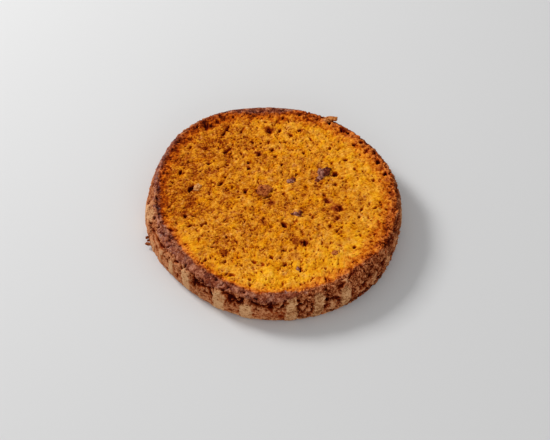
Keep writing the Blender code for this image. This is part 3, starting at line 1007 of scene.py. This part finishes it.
def crust_section(angle):
    """The crust's outer section before its relief, ring by ring: radius, height, outward way and length.

    A quarter of an oval over the shoulder, a bulging wall, a rounded foot and a flat run under it.
    The outward way is a slope outward and one upward. The length runs from the face's rim along the section.
    """
    wall = outline_radius(angle)
    width = shoulder_width(angle)
    edge = wall - width
    top = FACE_HEIGHT + FACE_LEAN * edge * np.sin(angle)
    radii, heights = [], []
    for turn in np.linspace(0, 0.5 * np.pi, SHOULDER_RINGS + 1):
        radii.append(edge + width * math.sin(turn))
        heights.append(top - SHOULDER_DROP * (1 - math.cos(turn)))
    for drop in np.linspace(0, 1, WALL_RINGS + 1)[1:]:
        radii.append(wall + WALL_BULGE * math.sin(math.pi * drop))
        heights.append((top - SHOULDER_DROP) * (1 - drop) + FOOT_ROUNDING * drop)
    for turn in np.linspace(0, 0.5 * np.pi, FOOT_RINGS + 1)[1:]:
        radii.append(wall - FOOT_ROUNDING * (1 - math.cos(turn)))
        heights.append(0 * wall + FOOT_ROUNDING * (1 - math.sin(turn)))
    for run in np.linspace(0, 1, UNDERSIDE_RINGS + 1)[1:]:
        radii.append(wall - FOOT_ROUNDING - (UNDERSIDE_CRUST - FOOT_ROUNDING) * run)
        heights.append(0 * wall)
    radius, height = np.array(radii), np.array(heights)
    run, fall = np.gradient(radius, axis=0), np.gradient(height, axis=0)
    steep = np.hypot(run, fall)
    steps = np.hypot(np.diff(radius, axis=0), np.diff(height, axis=0))
    length = np.concatenate([np.zeros((1, len(angle))), np.cumsum(steps, axis=0)])
    return radius, height, -fall / steep, run / steep, length


def crust_lands(spot):
    """How much of each point is a light land, patch or ridge, and how much is a crease beside a land, dark
    with painted shade.
    """
    land, crease = land_share(spot.angle, spot.height, spot.place)
    land = land * smooth_step(0.1, 0.9, spot.drop)
    patch = darkest_mark(spot.x, spot.y, TAN_PATCHES, 0.4 * lumps(spot.place, 1.4, 48))
    land = np.maximum(land, patch * smooth_step(4.0, 2.5, spot.drop))
    return np.maximum(land, foot_ridge(spot.angle, spot.height, spot.place)), crease


def band_gap(spot):
    """How much of each point is the broken gap right under the band, dark with painted shade under the band's
    edge.
    """
    reach = crust_sizes(spot.angle)[1]
    below = spot.drop - reach - 0.7 + 0.5 * lumps(spot.place, 2.6, 55)
    broken = smooth_step(0.0, 0.3, lumps(spot.place, 2.8, 56)) * smooth_step(0.4, 1.0, reach)
    return 0.9 * np.exp(-((below / 0.45) ** 2)) * broken * near_direction(spot.angle, GAP_DIRECTION, 100, 60)


def crust_pits(spot, lost, crease, held_land):
    """How much of each point is a pit: torn beds, creases beside lands, the gap, cracks and named pores; it
    sinks the wall and darkens it as painted shade.
    """
    pit = np.maximum(np.maximum(pit_share(spot.angle, spot.height, spot.place), lost), 0.75 * crease)
    pit = pit * (1 - 0.85 * held_land) * smooth_step(0.9, 1.5, spot.drop)
    pit = np.maximum(pit, band_gap(spot))
    crack = spot.band * slits(stirred(spot.place, 1.0, 0.4, 80), 3.2, 0.07, 0.45, 84)
    named = named_pores(spot.x, spot.y) * smooth_step(3.6, 2.4, spot.drop)
    return np.maximum(np.maximum(pit, 0.55 * crack), named) * smooth_step(0.2, 1.4, spot.height)


def crust_tone(spot, wall_hold, lumpy, torn):
    """From 0, darker, to 1, lighter: painted light and shade by the crust's relief and its direction, over
    its own tone.
    """
    shoulder = 1 - wall_hold
    tone = 0.55 + 0.12 * wall_hold + 0.3 * lumps(spot.place, 4.0, 47)
    # Painted light and shade: lighter where the shoulder and the torn wall stand out, darker where they sink
    tone += (1.1 - 0.3 * spot.band) * shoulder * lumpy + 1.5 * wall_hold * torn
    tone += 0.5 * spot.band * lumps(spot.place, 2.0, 49)
    tone -= 0.14 * near_direction(spot.angle, DULL_SHOULDER, 60, 35) * shoulder
    # Painted shade on the front right foot; the wall is also darker over its lowest 2 mm
    foot_shade = near_direction(spot.angle, FOOT_SHADE_DIRECTION, 20, 10) * smooth_step(5.0, 3.0, spot.height)
    low_foot = smooth_step(2.2, 0.6, spot.height)
    pale = near_direction(spot.angle, PALE_SHOULDER, 46, 30) * shoulder
    tone += 0.09 * pale * (1 - spot.band) - 0.22 * foot_shade - 0.2 * low_foot
    return tone + (1 - spot.band) * by_direction(spot.angle, WALL_LIGHT_TONES)[0]


def crust_back(around, radius, height):
    """The two rings of points that close the crust behind the crumb."""
    low, top = radius[-1] - BACK_LOW_STEP, radius[0] - BACK_TOP_STEP
    return [
        flat_points(*round_points(low, around), BACK_LOW_HEIGHT),
        flat_points(*round_points(top, around), height[0] - BACK_TOP_DROP),
    ]


def ring_faces(count, turns):
    """Four corners of each cell between closed rings of points, the last ring joined to the first."""
    index = np.arange(count * turns).reshape(count, turns)
    below = np.roll(index, -1, axis=0)
    corners = [index, below, np.roll(below, -1, axis=1), np.roll(index, -1, axis=1)]
    return np.stack([corner.ravel() for corner in corners], axis=-1)


def make_crust(material):
    """The crust: a closed ring with a torn, pitted wall, light lands and a lumpy shoulder.

    Its outer section is moved outward by the relief. At the seam it takes the crumb's height instead, and the
    crumb's numbers blend into its own over the face. Under the slice it takes the underside's height.
    """
    share, angle = disc_grid(FACE_DIVISIONS)
    around = angle[rim_order(share, angle)] % (2 * np.pi)
    radius, height, outward, upward, length = crust_section(around)
    angle = np.broadcast_to(around, radius.shape)
    x, y = round_points(radius, angle)
    place = np.stack([x, y, height], axis=-1)
    drop = height[0] - height
    band = band_share(angle, drop, place)
    spot = SimpleNamespace(x=x, y=y, angle=angle, height=height, drop=drop, place=place, band=band)
    crumb_height, crumb_pore, crumb_shading_relief = crumb_surface(x, y)
    crumb_relief = crumb_height - FACE_HEIGHT - FACE_LEAN * y
    bare = smooth_step(COVERED_WIDTH, BARE_WIDTH, crust_sizes(angle)[0])
    seam_hold = smooth_step(SEAM_REACH, 0.0, length)
    face_hold = smooth_step(FACE_REACH + BARE_FACE_REACH * bare, 0.0, length)
    wall_hold = smooth_step(WALL_START, WALL_FULL, drop + 0.5 * lumps(place, 2.5, 46))
    foot_hold = smooth_step(FOOT_REACH, 0.0, height)

    lumpy = shoulder_relief(band, place)
    torn, lost = torn_relief(angle, height, place)
    land, crease = crust_lands(spot)
    held_land = smooth_step(0.2, 0.6, land)
    pit = crust_pits(spot, lost, crease, held_land)
    smooth = 0.45 + 0.12 * lumps(place, 2.2, 37) + 0.08 * lumps(place, 0.8, 38)
    wall = held_land * smooth + (1 - held_land) * torn
    relief = (1 - seam_hold) * ((1 - wall_hold) * lumpy + wall_hold * wall - PIT_DEPTH * pit)
    relief = relief * (1 - foot_hold) + foot_hold * 0.2 * np.minimum(wall, 0)

    out_x, out_y = round_points(outward * relief, angle)
    level = height + upward * relief + seam_hold * crumb_relief
    ring = flat_points(x + out_x, y + out_y, np.maximum(level, 0.0))
    ring[-1, :, :2] = place[-1, :, :2]
    under = ring[-UNDERSIDE_RINGS:]
    under[..., 2] = underside_surface(under[..., 0], under[..., 1])[0]
    rings = np.concatenate([ring, crust_back(around, radius, height)])
    count, turns = rings.shape[:2]

    toast = edge_toast(angle, -length, place)
    crusty = crust_edge(angle, -length, place)
    crumb_tone = face_tone(x, y, flat_points(x, y), crumb_shading_relief, toast, crusty * (1 - band))
    # Painted light and shade: the bare rim is lighter where it stands out
    crumb_tone += 0.9 * bare * smooth_step(0.0, 2.0, length) * lumpy
    crusty = np.maximum(crusty, smooth_step(1.2, 2.2, drop))
    marks = {
        "crusty": crusty,
        "toast": toast,
        # pits, creases, the gap and the face's pores, which the material darkens as painted shade
        "pit": np.maximum(pit, face_hold * crumb_pore),
        "land": land,
        "band": crusty * band,
        "tone": face_hold * crumb_tone + (1 - face_hold) * crust_tone(spot, wall_hold, lumpy, torn),
        "blush": 0 * x,
    }
    marks = {name: np.concatenate([values.ravel(), np.zeros(2 * turns)]) for name, values in marks.items()}
    faces = ring_faces(count, turns).tolist()
    return make_piece("bread_crust", rings.reshape(-1, 3), faces, marks, material)


def ball_grid(segments, rings):
    """Directions over a ball, ring by ring with one point at each pole, and the faces between them."""
    rise = np.linspace(-0.5 * np.pi, 0.5 * np.pi, rings + 1)[1:-1]
    turn = np.linspace(0, 2 * np.pi, segments, endpoint=False)
    rise, turn = np.meshgrid(rise, turn, indexing="ij")
    body = np.stack([np.cos(rise) * np.cos(turn), np.cos(rise) * np.sin(turn), np.sin(rise)], axis=-1)
    points = np.concatenate([[[0, 0, -1]], body.reshape(-1, 3), [[0, 0, 1]]])
    index = 1 + np.arange((rings - 1) * segments).reshape(rings - 1, segments)
    beside = np.roll(index, -1, axis=1)
    quads = np.stack([index[:-1], beside[:-1], beside[1:], index[1:]], axis=-1).reshape(-1, 4)
    low = np.stack([np.zeros(segments, int), beside[0], index[0]], axis=-1)
    high = np.stack([np.full(segments, len(points) - 1), index[-1], beside[-1]], axis=-1)
    return points, quads, np.concatenate([low, high])


def make_bits(name, bits, unevenness, boxiness, material):
    """Rough chunks sunk in the bread as one piece: each a ball drawn toward a box, stretched and uneven."""
    directions, quads, triangles = ball_grid(BIT_SEGMENTS, BIT_RINGS)
    boxy = np.sign(directions) * np.abs(directions) ** (1 - boxiness)
    points, faces = [], []
    for number, (x, y, height, width, length, tall, turn) in enumerate(bits):
        place = directions * 2.0 + 10.0 * number
        swollen = 1 + unevenness * (lumps(place, 1.3, 40) + 0.5 * lumps(place, 0.6, 41))
        ball = boxy * swollen[:, None] * (0.5 * np.array([width, length, tall]))
        cosine, sine = math.cos(math.radians(turn)), math.sin(math.radians(turn))
        across = ball[:, 0] * cosine - ball[:, 1] * sine
        along = ball[:, 0] * sine + ball[:, 1] * cosine
        start = len(directions) * number
        faces += (quads + start).tolist() + (triangles + start).tolist()
        middle = (x, y, FACE_HEIGHT + FACE_LEAN * y + height)
        points.append(np.stack([across, along, ball[:, 2]], axis=-1) + middle)
    return make_piece(name, np.concatenate(points), faces, {}, material)


def new_material(name):
    """A material with a shader, and its node tree."""
    material = bpy.data.materials.new(name)
    material.use_nodes = True
    return material, material.node_tree, material.node_tree.nodes["Principled BSDF"]


def read_mark(tree, name):
    """The number that a piece carries at each point."""
    node = tree.nodes.new("ShaderNodeAttribute")
    node.attribute_name = name
    return node.outputs["Fac"]


def speckle(tree, size, detail=2.0, roughness=0.5):
    """Noise over the object with spots of about the given size in millimetres."""
    place = tree.nodes.new("ShaderNodeTexCoord")
    node = tree.nodes.new("ShaderNodeTexNoise")
    node.inputs["Scale"].default_value = 1 / (size * METRES)
    node.inputs["Detail"].default_value = detail
    node.inputs["Roughness"].default_value = roughness
    tree.links.new(place.outputs["Object"], node.inputs["Vector"])
    return node.outputs["Fac"]


def between(tree, value, low, high, manner="SMOOTHSTEP"):
    """0 where a value is low and 1 where it is high."""
    node = tree.nodes.new("ShaderNodeMapRange")
    node.interpolation_type = manner
    node.inputs["From Min"].default_value = low
    node.inputs["From Max"].default_value = high
    tree.links.new(value, node.inputs["Value"])
    return node.outputs["Result"]


def scaled(tree, value, factor):
    """A value times a number."""
    node = tree.nodes.new("ShaderNodeMath")
    node.operation = "MULTIPLY"
    node.inputs[1].default_value = factor
    tree.links.new(value, node.inputs[0])
    return node.outputs[0]


def combined(tree, operation, first, second):
    """Two values joined by an operation."""
    node = tree.nodes.new("ShaderNodeMath")
    node.operation = operation
    tree.links.new(first, node.inputs[0])
    tree.links.new(second, node.inputs[1])
    return node.outputs[0]


def weighted(tree, *terms):
    """The sum of several values, each times its own number."""
    parts = [scaled(tree, value, factor) for value, factor in terms]
    return functools.reduce(functools.partial(combined, tree, "ADD"), parts)


def blended(tree, share, first, second):
    """One colour or number changing into another by a share; each is a value or a socket."""
    colour = isinstance(first, tuple) or getattr(first, "type", "") == "RGBA"
    node = tree.nodes.new("ShaderNodeMix")
    node.data_type = "RGBA" if colour else "FLOAT"
    sockets = [socket for socket in node.inputs if socket.type == ("RGBA" if colour else "VALUE")]
    first_socket, second_socket = sockets[-2:]
    for socket, value in ((first_socket, first), (second_socket, second)):
        if isinstance(value, bpy.types.NodeSocket):
            tree.links.new(value, socket)
        else:
            socket.default_value = (*value, 1.0) if colour else value
    tree.links.new(share, node.inputs["Factor"])
    return [socket for socket in node.outputs if socket.type == first_socket.type][0]


def tinted(tree, colour, tint):
    """A colour times another."""
    node = tree.nodes.new("ShaderNodeMix")
    node.data_type = "RGBA"
    node.blend_type = "MULTIPLY"
    node.inputs["Factor"].default_value = 1.0
    first, second = [socket for socket in node.inputs if socket.type == "RGBA"]
    tree.links.new(colour, first)
    tree.links.new(tint, second)
    return [socket for socket in node.outputs if socket.type == "RGBA"][0]


def add_bump(tree, surface, height, depth):
    """A fine bump of the finish from a height, as deep as the given millimetres."""
    bump = tree.nodes.new("ShaderNodeBump")
    bump.inputs["Distance"].default_value = depth * METRES
    tree.links.new(height, bump.inputs["Height"])
    tree.links.new(bump.outputs["Normal"], surface.inputs["Normal"])
    return bump


def ramp(tree, value, stops):
    """A colour that follows a value through several stops, each a place and a colour."""
    node = tree.nodes.new("ShaderNodeValToRGB")
    elements = node.color_ramp.elements
    while len(elements) < len(stops):
        elements.new(0.5)
    for element, (place, colour) in zip(elements, stops):
        element.position = place
        element.color = (*colour, 1.0)
    tree.links.new(value, node.inputs["Fac"])
    return node.outputs["Color"]


# Ranges of the summed noise and tone over which the crumb, the torn wall and the band go from dark to light
CRUMB_RANGE = (1.25, 2.75)
WALL_RANGE = (2.74, 4.16)
BAND_RANGE = (1.98, 3.42)

# Gloss and fine bump of the bread: how rough its parts are, how much light they throw back, the band's coat,
# the depth of the bump in millimetres, and its strength off the band and on it
CRUMB_ROUGHNESS = 0.9
CRUST_ROUGHNESS = 0.65
BAND_ROUGHNESS = 0.4
BREAD_SHINE = 0.03
BAND_COAT = 0.15
COAT_ROUGHNESS = 0.4
BREAD_BUMP_DEPTH = 0.3
BREAD_BUMP = 0.8
BAND_BUMP = 0.25

# Colours of each kind of surface from dark to light: place of each stop and its colour; the last darkens
# pits, pores, creases and the gap under the band, as painted shade in them
CRUMB_STOPS = (
    (0.0, (0.122, 0.0104, 0.00035)),
    (0.176, (0.325, 0.048, 0.001)),
    (0.37, (0.6, 0.188, 0.006)),
    (0.576, (0.82, 0.318, 0.0157)),
    (0.8, (0.94, 0.43, 0.042)),
    (1.0, (1.0, 0.54, 0.085)),
)
PEACH_STOPS = (
    (0.0, (0.122, 0.0113, 0.0005)),
    (0.2, (0.348, 0.056, 0.0026)),
    (0.44, (0.679, 0.242, 0.039)),
    (0.8, (0.92, 0.487, 0.13)),
    (1.0, (1.0, 0.6, 0.19)),
)
YELLOW_STOPS = (
    (0.0, (0.122, 0.0104, 0.0003)),
    (0.2, (0.339, 0.052, 0.0004)),
    (0.44, (0.687, 0.209, 0.0009)),
    (0.8, (0.93, 0.41, 0.012)),
    (1.0, (1.0, 0.51, 0.03)),
)
REDDISH_STOPS = (
    (0.0, (0.0696, 0.00348, 0.000348)),
    (0.24, (0.209, 0.0226, 0.00174)),
    (0.48, (0.435, 0.087, 0.0104)),
    (0.8, (0.731, 0.261, 0.0391)),
)
BROWNED_STOPS = (
    (0.0, (0.087, 0.0087, 0.00035)),
    (0.24, (0.313, 0.041, 0.0006)),
    (0.48, (0.609, 0.132, 0.0035)),
    (0.8, (0.88, 0.305, 0.022)),
    (1.0, (1.0, 0.39, 0.04)),
)
RIM_STOPS = (
    (0.0, (0.0435, 0.00261, 0.000174)),
    (0.24, (0.148, 0.0139, 0.00087)),
    (0.464, (0.365, 0.0592, 0.00609)),
    (0.76, (0.766, 0.217, 0.0365)),
)
CRUST_STOPS = (
    (0.05, (0.0435, 0.0013, 0.00009)),
    (0.3, (0.144, 0.0157, 0.00174)),
    (0.55, (0.3, 0.0757, 0.0191)),
    (0.8, (0.457, 0.151, 0.0539)),
    (1.0, (0.557, 0.226, 0.0957)),
)
LAND_STOPS = (
    (0.1, (0.226, 0.074, 0.0218)),
    (0.45, (0.47, 0.213, 0.0827)),
    (0.9, (0.661, 0.365, 0.174)),
)
RED_BAND_STOPS = (
    (0.1, (0.0435, 0.00261, 0.000435)),
    (0.4, (0.152, 0.0191, 0.00348)),
    (0.65, (0.27, 0.0679, 0.0235)),
    (0.95, (0.505, 0.191, 0.1)),
)
BAND_SHEEN_STOPS = (
    (0.1, (0.0478, 0.00435, 0.00174)),
    (0.4, (0.122, 0.0261, 0.0139)),
    (0.65, (0.217, 0.0731, 0.0435)),
    (0.95, (0.418, 0.196, 0.126)),
)
PIT_SHADE_STOPS = (
    (0.0, (1.0, 1.0, 1.0)),
    (0.3, (0.70, 0.38, 0.18)),
    (0.6, (0.34, 0.080, 0.02)),
    (0.95, (0.09, 0.010, 0.003)),
)


def crumb_colour(tree, tone, fine, coarse):
    """The crumb: orange with peach and yellow spots, reddish by its marks, and browned toward its edge."""
    level = between(tree, weighted(tree, (tone, 1.0), (fine, 1.9), (coarse, 0.8)), *CRUMB_RANGE, "LINEAR")
    peach_spot = between(tree, speckle(tree, 2.0, 2.0, 0.6), 0.48, 0.70)
    dull = blended(tree, between(tree, tone, 0.65, 1.0), 1.0, 0.15)
    yellow_spot = weighted(tree, (speckle(tree, 4.0, 3.0, 0.6), 1.0), (tone, 0.25))
    toast = read_mark(tree, "toast")
    layers = (
        (combined(tree, "MULTIPLY", peach_spot, dull), PEACH_STOPS),
        (between(tree, yellow_spot, 0.62, 0.78), YELLOW_STOPS),
        (read_mark(tree, "blush"), REDDISH_STOPS),
        (between(tree, toast, 0.0, 0.55), BROWNED_STOPS),
        (between(tree, toast, 0.6, 1.0), RIM_STOPS),
    )
    colour = ramp(tree, level, CRUMB_STOPS)
    for share, colour_stops in layers:
        colour = blended(tree, share, colour, ramp(tree, level, colour_stops))
    return colour


def crust_colour(tree, tone, fine, coarse, band):
    """The crust: brown, tan on its lands, and with red patches and grey patches of painted sheen on its
    smoother band.
    """
    sharp = speckle(tree, 0.45, 1.0)
    torn = weighted(tree, (tone, 1.0), (coarse, 1.2), (fine, 2.5), (sharp, 2.3))
    torn = between(tree, torn, *WALL_RANGE, "LINEAR")
    land = read_mark(tree, "land")
    wall_colour = blended(tree, land, ramp(tree, torn, CRUST_STOPS), ramp(tree, torn, LAND_STOPS))
    waxy = weighted(tree, (tone, 1.0), (coarse, 1.2), (fine, 2.0), (sharp, 1.2))
    waxy = between(tree, waxy, *BAND_RANGE, "LINEAR")
    # The grey patches are painted sheen on the band's red-brown
    patch = between(tree, speckle(tree, 4.0, 4.0, 0.75), 0.47, 0.66)
    band_colour = blended(tree, patch, ramp(tree, waxy, RED_BAND_STOPS), ramp(tree, waxy, BAND_SHEEN_STOPS))
    return blended(tree, band, wall_colour, band_colour)


def bread_material():
    """Crumb, browned edge, crust, lands, dark band and pits darkened by painted shade in one finish, by the
    numbers of the pieces.
    """
    material, tree, surface = new_material("toasted_bread")
    fine = speckle(tree, 0.85, 2.0, 0.75)
    coarse = speckle(tree, 2.6, 2.0, 0.6)
    tone, band, crusty = (read_mark(tree, name) for name in ("tone", "band", "crusty"))
    crumb = crumb_colour(tree, tone, fine, coarse)
    whole = blended(tree, crusty, crumb, crust_colour(tree, tone, fine, coarse, band))
    # Painted shade: each point is darkened by how much of it is a pit, pore, crease or gap
    whole = tinted(tree, whole, ramp(tree, read_mark(tree, "pit"), PIT_SHADE_STOPS))
    tree.links.new(whole, surface.inputs["Base Color"])
    crust_roughness = blended(tree, band, CRUST_ROUGHNESS, BAND_ROUGHNESS)
    tree.links.new(blended(tree, crusty, CRUMB_ROUGHNESS, crust_roughness), surface.inputs["Roughness"])
    surface.inputs["Specular IOR Level"].default_value = BREAD_SHINE
    surface.inputs["Coat Roughness"].default_value = COAT_ROUGHNESS
    tree.links.new(scaled(tree, band, BAND_COAT), surface.inputs["Coat Weight"])
    bump = add_bump(tree, surface, speckle(tree, 0.5, 3.0, 0.65), BREAD_BUMP_DEPTH)
    tree.links.new(blended(tree, band, BREAD_BUMP, BAND_BUMP), bump.inputs["Strength"])
    return material


# Pieces made of bits: name, bits, unevenness, boxiness, finish
BIT_PIECES = (
    ("nut_bits", NUT_BITS, 0.3, 0.3, "nut"),
    ("fruit_bits", FRUIT_BITS, 0.35, 0.2, "dried_fruit"),
    ("fruit_shade_bits", FRUIT_SHADE_BITS, 0.35, 0.2, "painted_fruit_shade"),
    ("pale_bits", PALE_BITS, 0.35, 0.3, "pale_nut"),
    ("rim_flakes", FLAKES, 0.15, 0.5, "flake"),
    ("stuck_crumbs", STUCK_CRUMBS, 0.35, 0.2, "brown_crumb"),
)

# Their finishes: colours of cracks, of dark spots and of light spots; roughness and shine
BIT_FINISHES = {
    "nut": ((0.087, 0.0087, 0.00087), (0.278, 0.0478, 0.00522), (0.522, 0.152, 0.0313), 0.75, 0.08),
    # The dried fruit's light grey-pink spots are painted highlights over its dark purple
    "dried_fruit": ((0.0522, 0.00522, 0.00174), (0.174, 0.0478, 0.0261), (0.452, 0.191, 0.131), 0.55, 0.08),
    "painted_fruit_shade": ((0.0261, 0.00087, 0.00026), (0.0783, 0.00522, 0.00087), (0.226, 0.0435, 0.013), 0.5, 0.08),
    "pale_nut": ((0.348, 0.0827, 0.0087), (0.557, 0.2, 0.0435), (0.748, 0.383, 0.131), 0.7, 0.05),
    "flake": ((0.139, 0.0191, 0.00261), (0.4, 0.109, 0.0157), (0.644, 0.252, 0.0696), 0.7, 0.08),
    "brown_crumb": ((0.0609, 0.00522, 0.00087), (0.174, 0.0278, 0.00435), (0.4, 0.117, 0.0296), 0.75, 0.08),
}
SPOT_SIZE = 1.1
BIT_BUMP_SIZE = 0.6
BIT_BUMP_DEPTH = 0.25
BIT_BUMP = 0.7


def bit_material(name):
    """A bit of fruit, nut or crumb: two colours in spots, with cracks of a third, and a fine bump."""
    crack, dark, light, roughness, shine = BIT_FINISHES[name]
    material, tree, surface = new_material(name)
    colour = ramp(tree, speckle(tree, SPOT_SIZE, 3.0, 0.7), ((0.36, crack), (0.43, dark), (0.60, light)))
    tree.links.new(colour, surface.inputs["Base Color"])
    surface.inputs["Roughness"].default_value = roughness
    surface.inputs["Specular IOR Level"].default_value = shine
    bump = add_bump(tree, surface, speckle(tree, BIT_BUMP_SIZE), BIT_BUMP_DEPTH)
    bump.inputs["Strength"].default_value = BIT_BUMP
    return material


# The floor's size in metres and its colour
FLOOR_SIZE = 6.0
FLOOR_COLOUR = (0.68, 0.68, 0.68, 1.0)


def make_floor():
    """A plain pale floor under the slice."""
    bpy.ops.mesh.primitive_plane_add(size=FLOOR_SIZE)
    floor = bpy.context.object
    floor.name = "floor"
    material, _, surface = new_material("pale_floor")
    surface.inputs["Base Color"].default_value = FLOOR_COLOUR
    surface.inputs["Roughness"].default_value = 0.9
    surface.inputs["Specular IOR Level"].default_value = 0.2
    floor.data.materials.append(material)


def aim(thing, target):
    """Turn a light or a camera toward a point."""
    thing.rotation_euler = (Vector(target) - thing.location).to_track_quat("-Z", "Y").to_euler()


# The lights, by direction, height angle, distance and width; the main one comes from behind on the left
KEY_DIRECTION = 143
KEY_HEIGHT_ANGLE = 35
KEY_DISTANCE = 1.1
KEY_WIDTH = 0.32
KEY_WATTS = 10.0
SKY_STRENGTH = 0.46
FILL_DIRECTION = -80
FILL_HEIGHT_ANGLE = 18
FILL_DISTANCE = 1.6
FILL_WIDTH = 1.0
FILL_WATTS = 5.75


def add_lamp(name, direction, height_angle, distance, width, watts):
    """A square soft light at a direction, height angle and distance from the slice."""
    turn, rise = math.radians(direction), math.radians(height_angle)
    lamp = bpy.data.lights.new(name, "AREA")
    lamp.shape = "SQUARE"
    lamp.size = width
    lamp.energy = watts
    light = bpy.data.objects.new(name, lamp)
    flat = distance * math.cos(rise)
    light.location = (flat * math.cos(turn), flat * math.sin(turn), distance * math.sin(rise))
    aim(light, (0, 0, 0))
    bpy.context.scene.collection.objects.link(light)


def make_light():
    """A window-like light from behind on the left, a weak low one from the front, and an even sky."""
    add_lamp("window_light", KEY_DIRECTION, KEY_HEIGHT_ANGLE, KEY_DISTANCE, KEY_WIDTH, KEY_WATTS)
    add_lamp("front_light", FILL_DIRECTION, FILL_HEIGHT_ANGLE, FILL_DISTANCE, FILL_WIDTH, FILL_WATTS)
    world = bpy.data.worlds.new("studio_sky")
    world.use_nodes = True
    world.node_tree.nodes["Background"].inputs["Color"].default_value = (1.0, 1.0, 1.0, 1.0)
    world.node_tree.nodes["Background"].inputs["Strength"].default_value = SKY_STRENGTH
    bpy.context.scene.world = world


# The camera looks down on the slice from the front; the middle of its view meets the floor at its target
IMAGE_WIDTH = 550
CAMERA_HEIGHT_ANGLE = 48.7
CAMERA_DISTANCE = 0.6
PIXELS_PER_MM = 2.23
SENSOR_WIDTH = 36.0
CAMERA_TARGET = (0.0008, -0.0001, 0.0)


def make_camera():
    """The camera: its lens gives the measured number of pixels to a millimetre at the target."""
    rise = math.radians(CAMERA_HEIGHT_ANGLE)
    lens = bpy.data.cameras.new("camera")
    lens.sensor_width = SENSOR_WIDTH
    lens.lens = PIXELS_PER_MM * CAMERA_DISTANCE / METRES * SENSOR_WIDTH / IMAGE_WIDTH
    lens.clip_start = 0.01
    camera = bpy.data.objects.new("camera", lens)
    target = Vector(CAMERA_TARGET)
    camera.location = target + CAMERA_DISTANCE * Vector((0, -math.cos(rise), math.sin(rise)))
    aim(camera, target)
    bpy.context.scene.collection.objects.link(camera)
    bpy.context.scene.camera = camera


def main():
    """Make the pieces and their studio."""
    bread = bread_material()
    pieces = [make_crumb(bread), make_crust(bread)]
    for *kind, finish in BIT_PIECES:
        pieces.append(make_bits(*kind, bit_material(finish)))
    for piece in pieces:
        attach(piece, BODY)
    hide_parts(NODE)
    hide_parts(NODE)
    make_floor()
    make_light()
    make_camera()
    bpy.context.scene.view_settings.view_transform = "Standard"


main()
